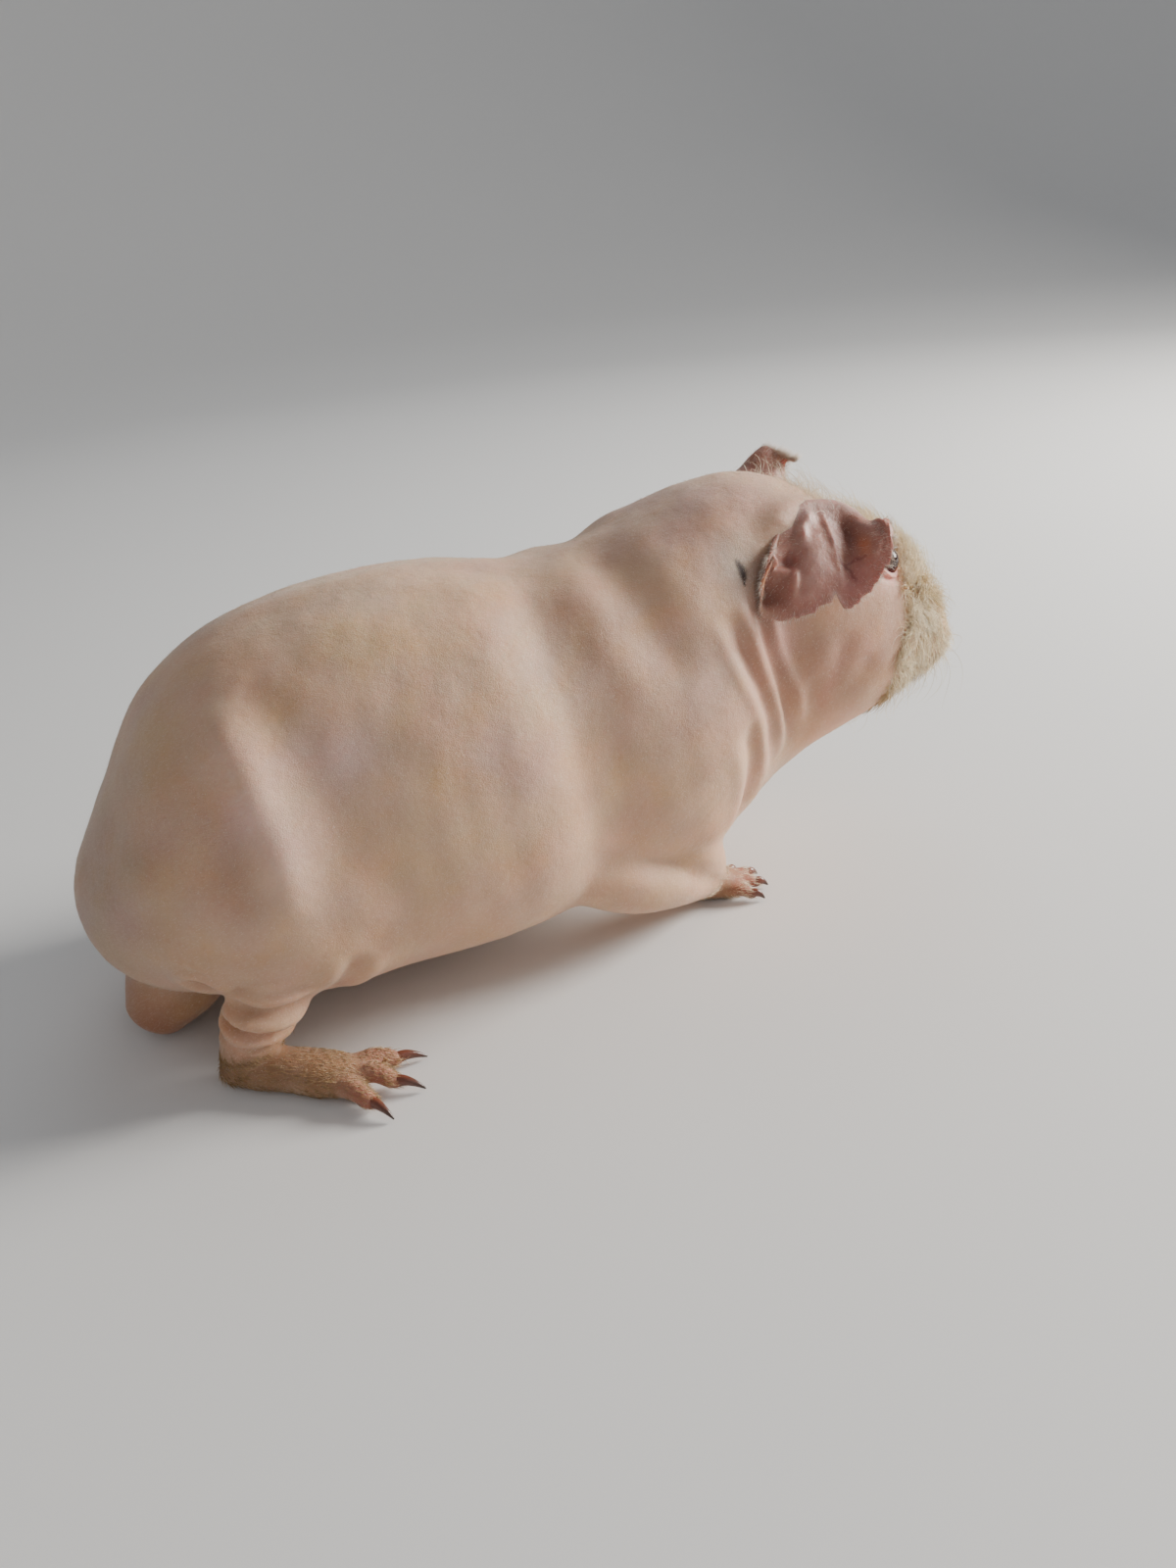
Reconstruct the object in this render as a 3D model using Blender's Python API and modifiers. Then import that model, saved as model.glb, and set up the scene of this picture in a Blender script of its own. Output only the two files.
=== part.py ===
"""A skinny pig (hairless guinea pig), standing with its head raised, at life size.

Run it with: blender --background --python part.py
Units are metres, +Z is up, +X is forward, +Y is the animal's left. Sizes are written in
millimetres times MM.

The body is one closed skin, lofted from rump to nose, with the limbs joined to it. It is then
parted into head, neck, torso and limbs by thin cuts. Ears, eyes and claws are pieces of their own.
"""
import math
import random

import bmesh
import bpy
import numpy as np
from mathutils import Matrix, Vector

MM = 0.001
GAP = 0.3 * MM                      # clearance between parts that meet
RIGHT, LEFT = -1, 1                 # side signs: the right side lies at -Y
SIDES = {"right": RIGHT, "left": LEFT}
TO_ORIGIN = Vector((-15.5, 0.0, 0.0)) * MM    # moves the middle of the box over the origin

# The trunk and head, as upright sections from the rump to the nose, in mm:
# x, height of the back, height of the belly, half width, share of the height where it is
# widest, fullness (2 is an ellipse, more is squarer)
STATIONS = {
    "rear":         (-107.2, 36.1, 36.1, 0.0, 0.50, 2.0),
    "seat":         (-105.4, 45.1, 28.0, 13.5, 0.50, 2.0),
    "buttock":      (-100.2, 54.1, 20.4, 24.7, 0.48, 2.0),
    "rump":         (-92.6, 66.0, 15.7, 33.2, 0.46, 2.1),
    "croup":        (-81.4, 83.0, 12.3, 40.8, 0.44, 2.1),
    "hips":         (-64.9, 95.0, 10.0, 45.3, 0.43, 2.2),
    "loin":         (-43.7, 101.0, 7.6, 47.6, 0.42, 2.2),
    "back":         (-20.9, 103.2, 6.2, 48.5, 0.42, 2.2),
    "ribs":         (1.9, 101.2, 7.6, 46.7, 0.42, 2.2),
    "dip":          (17.1, 99.3, 9.5, 44.0, 0.43, 2.2),
    "withers":      (32.3, 101.6, 12.3, 40.8, 0.44, 2.2),
    "shoulders":    (49.4, 106.4, 15.2, 37.3, 0.45, 2.2),
    "neck":         (64.6, 110.5, 19.0, 33.7, 0.46, 2.2),
    "nape":         (77.0, 111.4, 24.7, 31.0, 0.47, 2.2),
    "occiput":      (88.3, 107.8, 31.5, 29.4, 0.50, 2.3),
    "brow":         (99.3, 100.7, 37.2, 28.0, 0.54, 2.5),
    "eyes":         (109.2, 93.8, 41.4, 26.0, 0.55, 2.6),
    "cheeks":       (118.0, 86.8, 44.4, 22.5, 0.50, 2.5),
    "muzzle":       (125.8, 79.3, 47.2, 18.6, 0.46, 2.5),
    "snout":        (131.8, 72.4, 49.6, 15.4, 0.46, 2.5),
    "nose":         (136.0, 66.0, 52.0, 11.2, 0.47, 2.3),
    "tip":          (138.2, 59.0, 59.0, 0.0, 0.50, 2.0),
}
STATION_ROWS = np.array(list(STATIONS.values()))

# Soft forms pushed out of the loft: centre, reach and push in mm, given for the left side
SWELLS = {
    "thigh":        ((-68.4, 47.5, 36.1), (28.5, 28.5, 32.3), (0.0, 5.2, 0.0)),
    "knee":         ((-51.3, 47.5, 20.9), (14.2, 22.8, 16.2), (0.0, 3.8, -1.0)),
    "flank hollow": ((-41.8, 49.4, 58.9), (16.2, 28.5, 28.5), (0.0, -2.4, 0.0)),
    "belly":        ((-7.6, 41.8, 30.4), (39.9, 28.5, 24.7), (0.0, 2.4, -1.0)),
    "rib hollow":   ((22.8, 47.5, 47.5), (11.4, 38.0, 43.7), (0.0, -2.4, 0.0)),
    "shoulder":     ((47.5, 38.0, 42.8), (19.0, 24.7, 28.5), (0.0, 4.8, 0.0)),
    "elbow":        ((47.5, 34.2, 20.9), (14.2, 20.9, 13.3), (1.0, 4.8, -1.9)),
    "neck hollow":  ((76.0, 34.2, 58.9), (8.5, 28.5, 34.2), (0.0, -3.3, 0.0)),
    "cheek":        ((102.6, 26.6, 52.2), (15.2, 17.1, 16.2), (0.0, 2.8, 0.0)),
    "eye hollow":   ((115.9, 22.8, 79.8), (8.5, 13.3, 7.6), (0.0, -1.4, 0.0)),
    "whisker pad":  ((130.2, 16.2, 54.2), (7.6, 10.4, 7.6), (0.5, 2.1, 0.0)),
}

RING_TRUNK, RING_HEAD = 10.0, 4.0    # distance between sections along the trunk and the head
HEAD_FROM = 83.6                    # x where the closer sections start
AROUND = 32                         # corners of a section


def catmull_rom(keys, rows, at):
    """The rows of a table read between its keys, on a smooth curve through them."""
    slopes = np.gradient(rows, keys, axis=0)
    i = np.clip(np.searchsorted(keys, at, side="right") - 1, 0, len(keys) - 2)
    step = (keys[i + 1] - keys[i])[:, None]
    t = (at - keys[i])[:, None] / step
    return ((1 + 2 * t) * (1 - t) ** 2 * rows[i] + t * (1 - t) ** 2 * step * slopes[i]
            + t * t * (3 - 2 * t) * rows[i + 1] + t * t * (t - 1) * step * slopes[i + 1])


def station_keys():
    """How far along the skin each station lies, in mm."""
    half_height = (STATION_ROWS[:, 1] - STATION_ROWS[:, 2]) / 2
    places = np.column_stack([STATION_ROWS[:, 0], half_height, STATION_ROWS[:, 3]])
    steps = np.linalg.norm(np.diff(places, axis=0), axis=1)
    return np.concatenate([[0.0], np.cumsum(steps)])


KEYS = station_keys()
FINE_KEYS = np.linspace(0.0, KEYS[-1], 600)
FINE_X = catmull_rom(KEYS, STATION_ROWS, FINE_KEYS)[:, 0]


def swelled(points):
    """Points in mm with the soft forms of both sides pushed out."""
    moved = points.copy()
    for centre, reach, push in SWELLS.values():
        for side in SIDES.values():
            mirror = np.array([1.0, side, 1.0])
            offset = (points - np.array(centre) * mirror) / np.array(reach)
            weight = np.exp(-(offset ** 2).sum(axis=-1, keepdims=True))
            moved += weight * np.array(push) * mirror
    return moved


def skin(keys, angles):
    """Points of the skin in mm: one row for each key, one column for each angle in radians.
    Angle 0 is the left side, a quarter turn is the back and three quarters the belly."""
    x, top, bottom, half, share, full = catmull_rom(KEYS, STATION_ROWS, keys).T[:, :, None]
    middle = bottom + share * (top - bottom)
    across, up = np.cos(angles)[None, :], np.sin(angles)[None, :]
    y = np.maximum(half, 0) * np.sign(across) * np.abs(across) ** (2 / full)
    reach = np.where(up > 0, top - middle, middle - bottom)
    z = middle + np.maximum(reach, 0) * np.sign(up) * np.abs(up) ** (2 / full)
    return swelled(np.stack([np.broadcast_to(x, y.shape), y, z], axis=-1))


def skin_frame(x, degrees):
    """The point of the skin at x and its outward normal, both as vectors, the point in mm."""
    key = np.interp(x, FINE_X, FINE_KEYS)
    angle = math.radians(degrees)
    keys = np.array([key - 0.6, key, key + 0.6])
    near = skin(keys, np.array([angle - 0.04, angle, angle + 0.04]))
    along = Vector(near[2, 1] - near[0, 1])
    around = Vector(near[1, 2] - near[1, 0])
    normal = along.cross(around).normalized()
    point = Vector(near[1, 1])
    middle = catmull_rom(KEYS, STATION_ROWS, np.array([key]))[0]
    outward = point - Vector((x, 0.0, (middle[1] + middle[2]) / 2))
    return point, normal if normal.dot(outward) > 0 else -normal


def new_object(name, mesh, shade=True):
    obj = bpy.data.objects.new(name, mesh)
    bpy.context.scene.collection.objects.link(obj)
    if shade:
        mesh.shade_smooth()
    return obj


def lofted(name, rings, first=None, last=None):
    """A closed skin over rings of points in mm. It ends in the points first and last, or where
    one is None in a flat face."""
    bm = bmesh.new()
    rows = [[bm.verts.new(Vector(p) * MM) for p in ring] for ring in rings]
    count = len(rows[0])
    for low, high in zip(rows, rows[1:]):
        for i in range(count):
            j = (i + 1) % count
            bm.faces.new((low[i], low[j], high[j], high[i]))
    for ring, point in ((rows[0], first), (rows[-1], last)):
        if point is None:
            bm.faces.new(ring)
            continue
        pole = bm.verts.new(Vector(point) * MM)
        for i in range(count):
            bm.faces.new((ring[i], ring[(i + 1) % count], pole))
    bmesh.ops.recalc_face_normals(bm, faces=bm.faces[:])
    mesh = bpy.data.meshes.new(name)
    bm.to_mesh(mesh)
    bm.free()
    return new_object(name, mesh)


def tube(name, stations, sides=10, steps=2, up=(0.0, 0.0, 1.0)):
    """A limb along stations of x, y, z, half width and half height in mm, with rounded ends."""
    table = np.array(stations, float)
    spans = np.linalg.norm(np.diff(table[:, :3], axis=0), axis=1)
    keys = np.concatenate([[0.0], np.cumsum(spans)])
    fine = np.unique(np.concatenate([np.linspace(a, b, steps + 1) for a, b in zip(keys, keys[1:])]))
    rows = catmull_rom(keys, table, fine)
    tangents = np.gradient(rows[:, :3], fine, axis=0)
    rings = []
    for row, tangent in zip(rows, tangents):
        ahead = Vector(tangent).normalized()
        across = Vector(up).cross(ahead).normalized()
        over = ahead.cross(across)
        turns = [2 * math.pi * i / sides for i in range(sides)]
        rings.append([Vector(row[:3]) + across * row[3] * math.cos(a) + over * row[4] * math.sin(a)
                      for a in turns])
    round_end = 0.6
    first = Vector(rows[0, :3]) - Vector(tangents[0]).normalized() * min(rows[0, 3:]) * round_end
    last = Vector(rows[-1, :3]) + Vector(tangents[-1]).normalized() * min(rows[-1, 3:]) * round_end
    return lofted(name, rings, first, last)


def boolean(obj, others, operation, solver="EXACT"):
    """Joins others to obj or cuts obj by them, applied, and removes the others."""
    group = bpy.data.collections.new("operands")
    bpy.context.scene.collection.children.link(group)
    for other in others:
        group.objects.link(other)
    modifier = obj.modifiers.new("boolean", "BOOLEAN")
    modifier.operation = operation
    modifier.solver = solver
    modifier.operand_type = "COLLECTION"
    modifier.collection = group
    bpy.context.view_layer.update()
    graph = bpy.context.evaluated_depsgraph_get()
    made = bpy.data.meshes.new_from_object(obj.evaluated_get(graph))
    obj.modifiers.clear()
    obj.data = made
    for other in others:
        bpy.data.objects.remove(other)
    bpy.data.collections.remove(group)
    keep_largest(obj)


def signed_volume(face):
    """Six times the volume between a triangle and the origin."""
    a, b, c = (vert.co for vert in face.verts)
    return a.dot(b.cross(c))


def keep_largest(obj):
    """Leaves only the closed surface that holds the most, so a sealed hollow or a scrap goes."""
    bm = bmesh.new()
    bm.from_mesh(obj.data)
    bmesh.ops.triangulate(bm, faces=bm.faces[:])
    left = set(bm.faces)
    shells = []
    while left:
        shell, front = set(), [left.pop()]
        while front:
            face = front.pop()
            shell.add(face)
            for edge in face.edges:
                for other in edge.link_faces:
                    if other in left:
                        left.remove(other)
                        front.append(other)
        shells.append(shell)
    volumes = [sum(signed_volume(face) for face in shell) for shell in shells]
    largest = shells[volumes.index(max(volumes))]
    loose = [f for s in shells if s is not largest for f in s]
    bmesh.ops.delete(bm, geom=loose, context="FACES")
    bm.to_mesh(obj.data)
    bm.free()


def grown(obj, distance):
    """The object with every face moved out by distance."""
    bm = bmesh.new()
    bm.from_mesh(obj.data)
    bm.normal_update()
    offsets = [v.normal * distance * v.calc_shell_factor() for v in bm.verts]
    for vert, offset in zip(bm.verts, offsets):
        vert.co += offset
    bm.to_mesh(obj.data)
    bm.free()
    return obj


def copied(obj, name):
    return new_object(name, obj.data.copy())


def carved(flesh, name, region):
    """Parts what lies in region from the flesh, as a node of its own, with a thin cut between."""
    piece = copied(flesh, name)
    boolean(piece, [copied(region, "inside")], "INTERSECT")
    boolean(flesh, [grown(region, GAP)], "DIFFERENCE")
    return piece


def ball(name, centre, radii, turn=(0.0, 0.0, 0.0), segments=24, rings=14):
    """An ellipsoid. Its centre and radii are in mm and its turn in degrees."""
    bm = bmesh.new()
    bmesh.ops.create_uvsphere(bm, u_segments=segments, v_segments=rings, radius=1.0)
    turned = Matrix.LocRotScale(Vector(centre) * MM, euler(turn), Vector(radii) * MM)
    bmesh.ops.transform(bm, matrix=turned, verts=bm.verts[:])
    mesh = bpy.data.meshes.new(name)
    bm.to_mesh(mesh)
    bm.free()
    return new_object(name, mesh)


def euler(degrees):
    return Matrix.Rotation(math.radians(degrees[2]), 3, "Z") @ Matrix.Rotation(
        math.radians(degrees[1]), 3, "Y") @ Matrix.Rotation(math.radians(degrees[0]), 3, "X")


def block(name, low, high, lean=0.0, hinge=(0.0, 0.0, 0.0)):
    """A box from corner low to corner high in mm, leaned back about a crosswise line at hinge."""
    bm = bmesh.new()
    bmesh.ops.create_cube(bm, size=1.0)
    low, high = Vector(low) * MM, Vector(high) * MM
    sized = Matrix.LocRotScale((low + high) / 2, None, high - low)
    pivot = Matrix.Translation(Vector(hinge) * MM)
    leaned = pivot @ Matrix.Rotation(math.radians(lean), 4, "Y") @ pivot.inverted()
    bmesh.ops.transform(bm, matrix=leaned @ sized, verts=bm.verts[:])
    mesh = bpy.data.meshes.new(name)
    bm.to_mesh(mesh)
    bm.free()
    return new_object(name, mesh, shade=False)


# Limbs, given for the left side: x, y, z, half width, half height along each, in mm
HIND_LEG = ((-60.8, 38.0, 31.4, 10.4, 10.4), (-67.4, 39.9, 22.8, 9.1, 8.9),
            (-72.7, 40.5, 15.2, 7.6, 7.4), (-76.0, 40.7, 9.0, 6.6, 6.3), (-77.0, 41.3, 4.8, 5.5, 5.1))
HIND_FOOT = ((-80.3, 38.9, 4.4, 4.2, 4.4), (-75.0, 42.3, 4.6, 5.3, 5.2), (-66.5, 47.5, 4.4, 5.7, 4.9),
             (-58.4, 52.7, 3.8, 6.3, 4.4), (-53.7, 55.3, 3.2, 5.3, 3.5))
FORE_LEG = ((37.0, 26.5, 33.0, 10.4, 10.4), (43.4, 27.4, 24.0, 9.6, 9.4),
            (48.7, 25.6, 16.2, 7.4, 7.2), (51.8, 22.8, 9.5, 5.5, 5.4), (54.2, 21.5, 5.2, 4.9, 4.6))
FORE_FOOT = ((50.3, 21.3, 4.9, 4.2, 4.4), (55.6, 21.7, 4.0, 5.1, 4.5), (60.3, 22.0, 3.0, 4.9, 3.4))
# Toes: start, knuckle and end of the toe, then the tip of its claw
HIND_TOES = {
    "outer":  ((-58.0, 56.5, 3.4), (-54.7, 61.0, 4.1), (-52.4, 64.2, 2.7), (-48.3, 70.5, 0.8)),
    "middle": ((-54.6, 54.2, 3.6), (-49.2, 57.6, 4.6), (-46.0, 59.8, 2.8), (-39.3, 63.8, 0.8)),
    "inner":  ((-54.6, 50.8, 3.4), (-48.1, 51.9, 4.3), (-44.3, 52.2, 2.8), (-36.3, 52.8, 0.8)),
}
FORE_TOES = {
    "first":  ((56.5, 18.6, 2.8), (59.8, 16.7, 3.4), (61.9, 15.6, 2.3), (65.4, 13.7, 0.8)),
    "second": ((58.9, 20.5, 2.8), (63.3, 19.7, 3.7), (65.7, 19.2, 2.4), (69.7, 18.4, 0.8)),
    "third":  ((58.9, 23.2, 2.8), (63.1, 23.9, 3.7), (65.6, 24.4, 2.4), (69.5, 25.2, 0.8)),
    "fourth": ((56.5, 25.6, 2.8), (60.0, 27.7, 3.4), (62.0, 29.0, 2.3), (65.4, 31.0, 0.8)),
}
HIND_TOE_R, FORE_TOE_R = 2.4, 1.8
CLAW_R = 1.2
HIND_SHIFT = {"right": (0.0, 0.0), "left": (4.8, 0.0)}     # how far each foot stands from its place
FORE_SHIFT = {"right": (0.0, 0.0), "left": (5.7, 2.8)}
LOBE = ((-83.5, 8.5, 22.5, 13.0, 13.5), (-91.5, 9.3, 12.4, 12.6, 11.6), (-96.0, 9.7, 6.6, 9.5, 8.2))
FLOOR_DEPTH = 20.0

EYE_AT = (108.6, 39.5)              # x and angle of the left eye on the skin
EYE_DEPTH = 1.9                     # how deep its centre lies
EYE_R = 4.7
LID_R, LID_THICK = 4.2, 1.0
NOSTRIL, NOSTRIL_RADII, NOSTRIL_TURN = (136.4, 3.4, 61.6), (3.2, 0.9, 1.9), (0.0, 20.0, 34.0)
MOUTH = ((136.4, 270.0), (135.3, 284.0), (132.6, 297.0), (128.6, 308.0), (124.4, 316.0))
LIP_R, LIP_SUNK, LIP_APART = 1.2, 0.55, 1.1
MOUTH_R = 0.7
CORNER = 0.8                        # share of their size that lips and mouth keep at its corner
CLEFT = ((139.6, 0.0, 57.5), (138.6, 0.0, 54.2), (136.7, 0.0, 50.0))    # the groove below the nose
CLEFT_R = 0.6

# Locks of the muzzle's wiry coat, in mm: flat, tapered and bent back along its lie
LOCK_ROWS = (111.5, 115.4, 119.3, 123.1, 126.7, 130.1, 133.1, 135.6)    # x of each row
LOCK_APART = 7.4
LOCK_LENGTH = {"top": 11.0, "side": 9.0, "chin": 7.5}
LOCK_WIDTH, LOCK_THICK, LOCK_SUNK = 6.2, 0.95, 2.4
LOCK_SHARES = (0.86, 1.0)           # width at the root and at the bend
LOCK_RISE = {"top": 0.74, "side": 0.36, "chin": 0.30}    # share of the lie that stands off the skin
LOCK_SMALL_FROM, LOCK_SMALL = 125.0, 0.62    # x where they shorten, and their share at the nose
BARE_EYE, BARE_NOSE, BARE_LIP = 7.6, 7.0, 2.0            # reach of what stays bare
SEED = 4

# The left ear: the line where it leaves the head and its free edge, from rear to front
EAR_ROOT = ((75.5, 24.0, 97.5), (77.0, 22.0, 102.5), (81.0, 20.0, 106.0), (87.5, 18.6, 106.5),
            (94.5, 18.4, 104.6), (100.0, 19.8, 100.5), (103.0, 21.8, 95.5))
EAR_EDGE = ((70.0, 27.5, 95.5), (66.8, 29.5, 88.0), (73.0, 32.6, 80.6), (82.3, 35.0, 83.4),
            (91.5, 37.2, 84.7), (99.5, 36.0, 92.0), (104.5, 29.0, 99.8))
EAR_THICK = 1.2
EAR_STEPS = 5
EAR_BULGE = 2.6                     # how high it arches
EAR_PRICK = {"right": 0.0, "left": 7.0}      # how much higher its front is carried
EAR_OUT = (0.55, 0.84)              # the way its face looks, outward and up
EAR_INSET = 3.0                     # how far it starts inside the head

# What each part takes of the flesh, for the left side in mm
FOOT_BOXES = {                      # rear and inner corner, front and outer corner
    "hind": ((-95.0, 28.0), (-19.0, 86.0)),
    "fore": ((38.0, 6.0), (90.0, 43.0)),
}
FOOT_HEIGHT = 10.0
THIGH = ((-63.7, 45.6, 30.4), (32.3, 24.7, 38.0))        # centre and radii
FORELEG = ((47.5, 30.4, 24.7), (22.0, 21.0, 26.6))
HEAD_CUT = ((75.0, 0.0, 114.0), -12.2)                   # a point of the cut and its lean
NECK_CUT = ((53.2, 0.0, 106.0), -10.2)

def mirrored(points, side, shift=(0.0, 0.0)):
    """A table of the left side's points, set on the given side and shifted along x and y."""
    rows = np.array(points, float)
    rows[:, 0] += shift[0]
    rows[:, 1] = (rows[:, 1] + shift[1]) * side
    return rows


def path_tube(name, path, radii, sides=6):
    return tube(name, [(*point, radius, radius) for point, radius in zip(path, radii)], sides, steps=1)


def body_skin():
    """The closed skin of the trunk and head, without limbs."""
    split = np.interp(HEAD_FROM, FINE_X, FINE_KEYS)
    trunk = np.linspace(KEYS[0], split, round(split / RING_TRUNK) + 1)
    front = np.linspace(split, KEYS[-1], round((KEYS[-1] - split) / RING_HEAD) + 1)
    keys = np.concatenate([trunk[:-1], front])
    angles = np.arange(AROUND) * 2 * math.pi / AROUND
    rows = skin(keys, angles)
    return lofted("body", rows[1:-1], rows[0, 0], rows[-1, 0])


def limbs():
    """The legs, feet and toes, and the lobe under the tail's place, as closed pieces."""
    pieces = [tube("lobe", mirrored(LOBE, RIGHT), 12), tube("lobe", mirrored(LOBE, LEFT), 12)]
    for word, side in SIDES.items():
        hind, fore = HIND_SHIFT[word], FORE_SHIFT[word]
        pieces.append(tube("leg", mirrored(HIND_LEG, side, hind), 12, up=(1.0, 0.0, 0.0)))
        pieces.append(tube("foot", mirrored(HIND_FOOT, side, hind), 10, steps=1))
        pieces.append(tube("leg", mirrored(FORE_LEG, side, fore), 12, up=(1.0, 0.0, 0.0)))
        pieces.append(tube("foot", mirrored(FORE_FOOT, side, fore), 10, steps=1))
        for toes, radius, shift in ((HIND_TOES, HIND_TOE_R, hind), (FORE_TOES, FORE_TOE_R, fore)):
            for toe in toes.values():
                radii = (radius * 1.1, radius, radius * 0.85)
                pieces.append(path_tube("toe", mirrored(toe[:3], side, shift), radii))
    return pieces


def claw(name, toe, side, shift, carrier):
    """A curved horn cone from inside its toe, cut clear of it."""
    root, tip = mirrored(toe[2:], side, shift)
    inside = root - (tip - root) * 0.25
    middle = (root + tip) / 2 + np.array([0.0, 0.0, 0.9])
    radii = (CLAW_R * 0.9, CLAW_R, CLAW_R * 0.72, CLAW_R * 0.2)
    horn = path_tube(name, (inside, root, middle, tip), radii, sides=6)
    boolean(horn, [grown(copied(carrier, "clearance"), GAP)], "DIFFERENCE")
    return horn


def ring(name, centre, normal, radius, thick, segments=20, sides=8):
    """A ring such as an eyelid, lying flat to normal. Lengths in mm."""
    normal = Vector(normal).normalized()
    across = normal.orthogonal().normalized()
    over = normal.cross(across)
    rows = []
    for i in range(segments):
        turn = 2 * math.pi * i / segments
        out = across * math.cos(turn) + over * math.sin(turn)
        middle = Vector(centre) + out * radius
        rows.append([middle + (out * math.cos(a) + normal * math.sin(a)) * thick
                     for a in (2 * math.pi * k / sides for k in range(sides))])
    return closed_ring(name, rows)


def closed_ring(name, rows):
    bm = bmesh.new()
    verts = [[bm.verts.new(p * MM) for p in row] for row in rows]
    for i, row in enumerate(verts):
        after = verts[(i + 1) % len(verts)]
        for k in range(len(row)):
            n = (k + 1) % len(row)
            bm.faces.new((row[k], row[n], after[n], after[k]))
    bmesh.ops.recalc_face_normals(bm, faces=bm.faces[:])
    mesh = bpy.data.meshes.new(name)
    bm.to_mesh(mesh)
    bm.free()
    return new_object(name, mesh)


def mouth_path(side, shift=0.0):
    """Points along the mouth's line on one side, from the middle to the corner."""
    points = []
    for x, degrees in MOUTH:
        turn = degrees if side == LEFT else 540.0 - degrees
        point, normal = skin_frame(x, turn)
        points.append(point - normal * LIP_SUNK + Vector((shift, 0.0, 0.0)))
    return points


def face_details(head):
    """Lids, lips, mouth line and nostrils on the head."""
    added, cut = [], []
    for side in SIDES.values():
        eye = eye_centre(side)
        outward = eye_direction(side)
        added.append(ring("lid", eye + outward * EYE_R * 0.34, outward, LID_R, LID_THICK))
        cut.append(ball("socket", eye, (EYE_R + GAP / MM,) * 3, segments=20, rings=12))
        nostril = Vector((NOSTRIL[0], NOSTRIL[1] * side, NOSTRIL[2]))
        turn = (0.0, NOSTRIL_TURN[1], NOSTRIL_TURN[2] * side)
        cut.append(ball("nostril", nostril, NOSTRIL_RADII, turn, 12, 8))
        shares = np.array([1.0] * (len(MOUTH) - 1) + [CORNER])
        for apart in (LIP_APART, -LIP_APART):
            added.append(path_tube("lip", mouth_path(side, apart), shares * LIP_R, 8))
        cut.append(path_tube("mouth", mouth_path(side), shares * MOUTH_R, 6))
    boolean(head, added + muzzle_locks(), "UNION")
    cut.append(path_tube("cleft", CLEFT, (CLEFT_R,) * len(CLEFT), 6))
    for cutter in cut:
        boolean(head, [cutter], "DIFFERENCE")


def round_head(sizes, degrees):
    """A size of the coat at an angle round the head, from its sizes at the top, side and chin."""
    up = math.sin(math.radians(degrees))
    end = sizes["top"] if up > 0 else sizes["chin"]
    return sizes["side"] + (end - sizes["side"]) * abs(up)


def lock(point, normal, back, length, width, rise):
    """One flat lock, rooted under the skin, that rises and then bends back along it."""
    across = normal.cross(back).normalized()
    rings = []
    place = point - normal * LOCK_SUNK
    for share, lift, step in zip(LOCK_SHARES, (rise + 0.3, rise), (LOCK_SUNK + 0.45 * length, 0.0)):
        ahead = (normal * lift + back).normalized()
        over = across.cross(ahead)
        half, thick = width * share / 2, LOCK_THICK * share / 2
        rings.append([place + across * half - over * thick, place + over * thick,
                      place - across * half - over * thick, place - over * thick])
        place = place + ahead * step
    tip = place + (normal * (rise - 0.25) + back).normalized() * length * 0.6
    return lofted("lock", rings, None, tip)


def muzzle_locks():
    """The coat of the muzzle, in staggered rows from the eyes to the nose."""
    draw = random.Random(SEED)
    bare = [(eye_centre(side), BARE_EYE) for side in SIDES.values()]
    bare.append((Vector(CLEFT[0]), BARE_NOSE))
    bare += [(point, BARE_LIP) for side in SIDES.values() for point in mouth_path(side)]
    locks = []
    for row, x in enumerate(LOCK_ROWS):
        ring = [skin_frame(x, degrees)[0] for degrees in range(0, 360, 10)]
        round_about = sum((a - b).length for a, b in zip(ring, ring[1:] + ring[:1]))
        count = round(round_about / LOCK_APART)
        for i in range(count):
            degrees = (i + 0.5 * (row % 2) + draw.uniform(-0.18, 0.18)) * 360.0 / count
            point, normal = skin_frame(x + draw.uniform(-0.8, 0.8), degrees)
            if any((point - centre).length < reach for centre, reach in bare):
                continue
            back = Vector((-1.0, draw.uniform(-0.25, 0.25), draw.uniform(-0.3, 0.0)))
            back = (back - normal * back.dot(normal)).normalized()
            size = np.interp(x, (LOCK_SMALL_FROM, LOCK_ROWS[-1]), (1.0, LOCK_SMALL))
            length = size * round_head(LOCK_LENGTH, degrees) * draw.uniform(0.88, 1.12)
            width = size * LOCK_WIDTH * draw.uniform(0.85, 1.1)
            rise = round_head(LOCK_RISE, degrees) + draw.uniform(-0.1, 0.1)
            locks.append(lock(point, normal, back, length, width, rise))
    return locks


def eye_direction(side):
    return Vector((0.36, 0.86 * side, 0.36)).normalized()


def eye_centre(side):
    point, normal = skin_frame(*EYE_AT)
    centre = point - normal * EYE_DEPTH
    return Vector((centre.x, centre.y * side, centre.z))


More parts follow.
